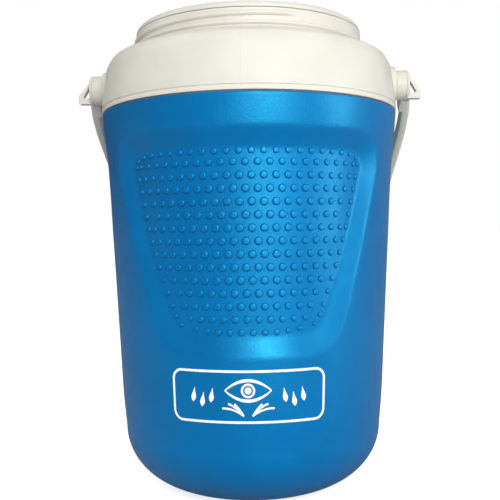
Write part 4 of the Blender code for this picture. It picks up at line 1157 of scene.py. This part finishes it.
def build_floor():
    """A pale floor that runs to the horizon and stays white to the camera away from the shadow."""
    made = Finish("studio_floor")
    tone = made.mix(made.noise(240, 3), (0.8, 0.8, 0.8), (0.84, 0.84, 0.84))
    made.use(tone, 0.6, made.bump(made.noise(3, 2), 0.02))
    made.shader.inputs["Emission Color"].default_value = (1, 1, 1, 1)
    made.shader.inputs["Emission Strength"].default_value = 0.72
    bounce = made.add("ShaderNodeBsdfDiffuse")
    bounce.inputs["Color"].default_value = (0.4, 0.4, 0.4, 1)
    surface = camera_switch(made.tree, bounce.outputs[0], made.shader.outputs[0])
    made.tree.links.new(surface, made.tree.nodes["Material Output"].inputs["Surface"])
    verts = [(x * 60000, y * 60000, 0) for x, y in ((-1, -1), (1, -1), (1, 1), (-1, 1))]
    mesh = bpy.data.meshes.new("floor")
    mesh.from_pydata((np.array(verts) * MM).tolist(), [], [(0, 1, 2, 3)])
    mesh.materials.append(made.material)
    floor = bpy.data.objects.new("floor", mesh)
    bpy.context.scene.collection.objects.link(floor)


def build_world():
    """White to the camera. To the object it is a soft room, brighter on the right than on the left."""
    world = bpy.data.worlds.new("studio")
    bpy.context.scene.world = world
    world.use_nodes = True
    tree = world.node_tree
    seen = tree.nodes["Background"]
    seen.inputs["Color"].default_value = (1, 1, 1, 1)
    room = tree.nodes.new("ShaderNodeBackground")
    coords = tree.nodes.new("ShaderNodeTexCoord")
    split = tree.nodes.new("ShaderNodeSeparateXYZ")
    tree.links.new(coords.outputs["Generated"], split.inputs[0])
    # Soft light comes from all round, while what the surfaces mirror is dark on the left.
    levels = []
    for left, right in ((1.45, 0.34), (0.03, 0.5)):
        level = tree.nodes.new("ShaderNodeMapRange")
        tree.links.new(split.outputs["X"], level.inputs["Value"])
        for key, number in (("From Min", -0.7), ("From Max", 0.8), ("To Min", left), ("To Max", right)):
            level.inputs[key].default_value = number
        levels.append(level.outputs["Result"])
    path = tree.nodes.new("ShaderNodeLightPath")
    mirrored = tree.nodes.new("ShaderNodeMix")
    tree.links.new(path.outputs["Is Glossy Ray"], mirrored.inputs[0])
    tree.links.new(levels[0], mirrored.inputs[2])
    tree.links.new(levels[1], mirrored.inputs[3])
    tree.links.new(mirrored.outputs[0], room.inputs["Strength"])
    surface = camera_switch(tree, room.outputs[0], seen.outputs[0])
    tree.links.new(surface, tree.nodes["World Output"].inputs["Surface"])


def softbox(name, place, aim, size, power):
    light = bpy.data.lights.new(name, "AREA")
    light.shape = "RECTANGLE"
    light.size, light.size_y = size
    light.energy = power
    obj = bpy.data.objects.new(name, light)
    obj.location = place
    obj.rotation_euler = (Vector(aim) - Vector(place)).to_track_quat("-Z", "Y").to_euler()
    bpy.context.scene.collection.objects.link(obj)


def build_lights():
    aim = (0, 0, 0.2)
    softbox("key", (0.3, -1.2, 0.74), aim, (0.5, 0.35), 8)
    softbox("front", (0.35, -1.3, 0.32), aim, (0.9, 0.5), 5.5)
    softbox("side", (1.3, -0.5, 0.4), aim, (0.4, 0.7), 5)


def build_camera():
    camera = bpy.data.cameras.new("camera")
    camera.lens = 53.4
    camera.sensor_width = 36
    obj = bpy.data.objects.new("camera", camera)
    tilt = Matrix.Rotation(math.radians(88.81), 4, "X")
    roll = Matrix.Rotation(math.radians(-0.75), 4, "Z")
    yaw = Matrix.Rotation(math.radians(1.8), 4, "Z")
    obj.matrix_world = yaw @ Matrix.Translation((-0.00075, -0.6206, 0.202)) @ tilt @ roll
    bpy.context.scene.collection.objects.link(obj)
    bpy.context.scene.camera = obj


build_shell()
build_dots("grip_dots_front", 0)
build_dots("grip_dots_back", math.pi)
build_pictogram()
build_collar()
build_liner()
build_foam()
build_plug()
build_handle()
build_lug("strap_lug_right", "X", 1)
build_lug("strap_lug_left", "-X", -1)
build_valve_body()
build_valve_insides()
build_bulkhead()
build_swing_arm()
build_arm_screw("arm_screw_right", "X")
build_arm_screw("arm_screw_left", "-X")
build_manifold()
for side_name, side_sign in (("right", 1), ("left", -1)):
    build_nozzle(side_name, side_sign)
build_floor()
build_world()
build_lights()
build_camera()
bpy.context.scene.view_settings.view_transform = "Standard"
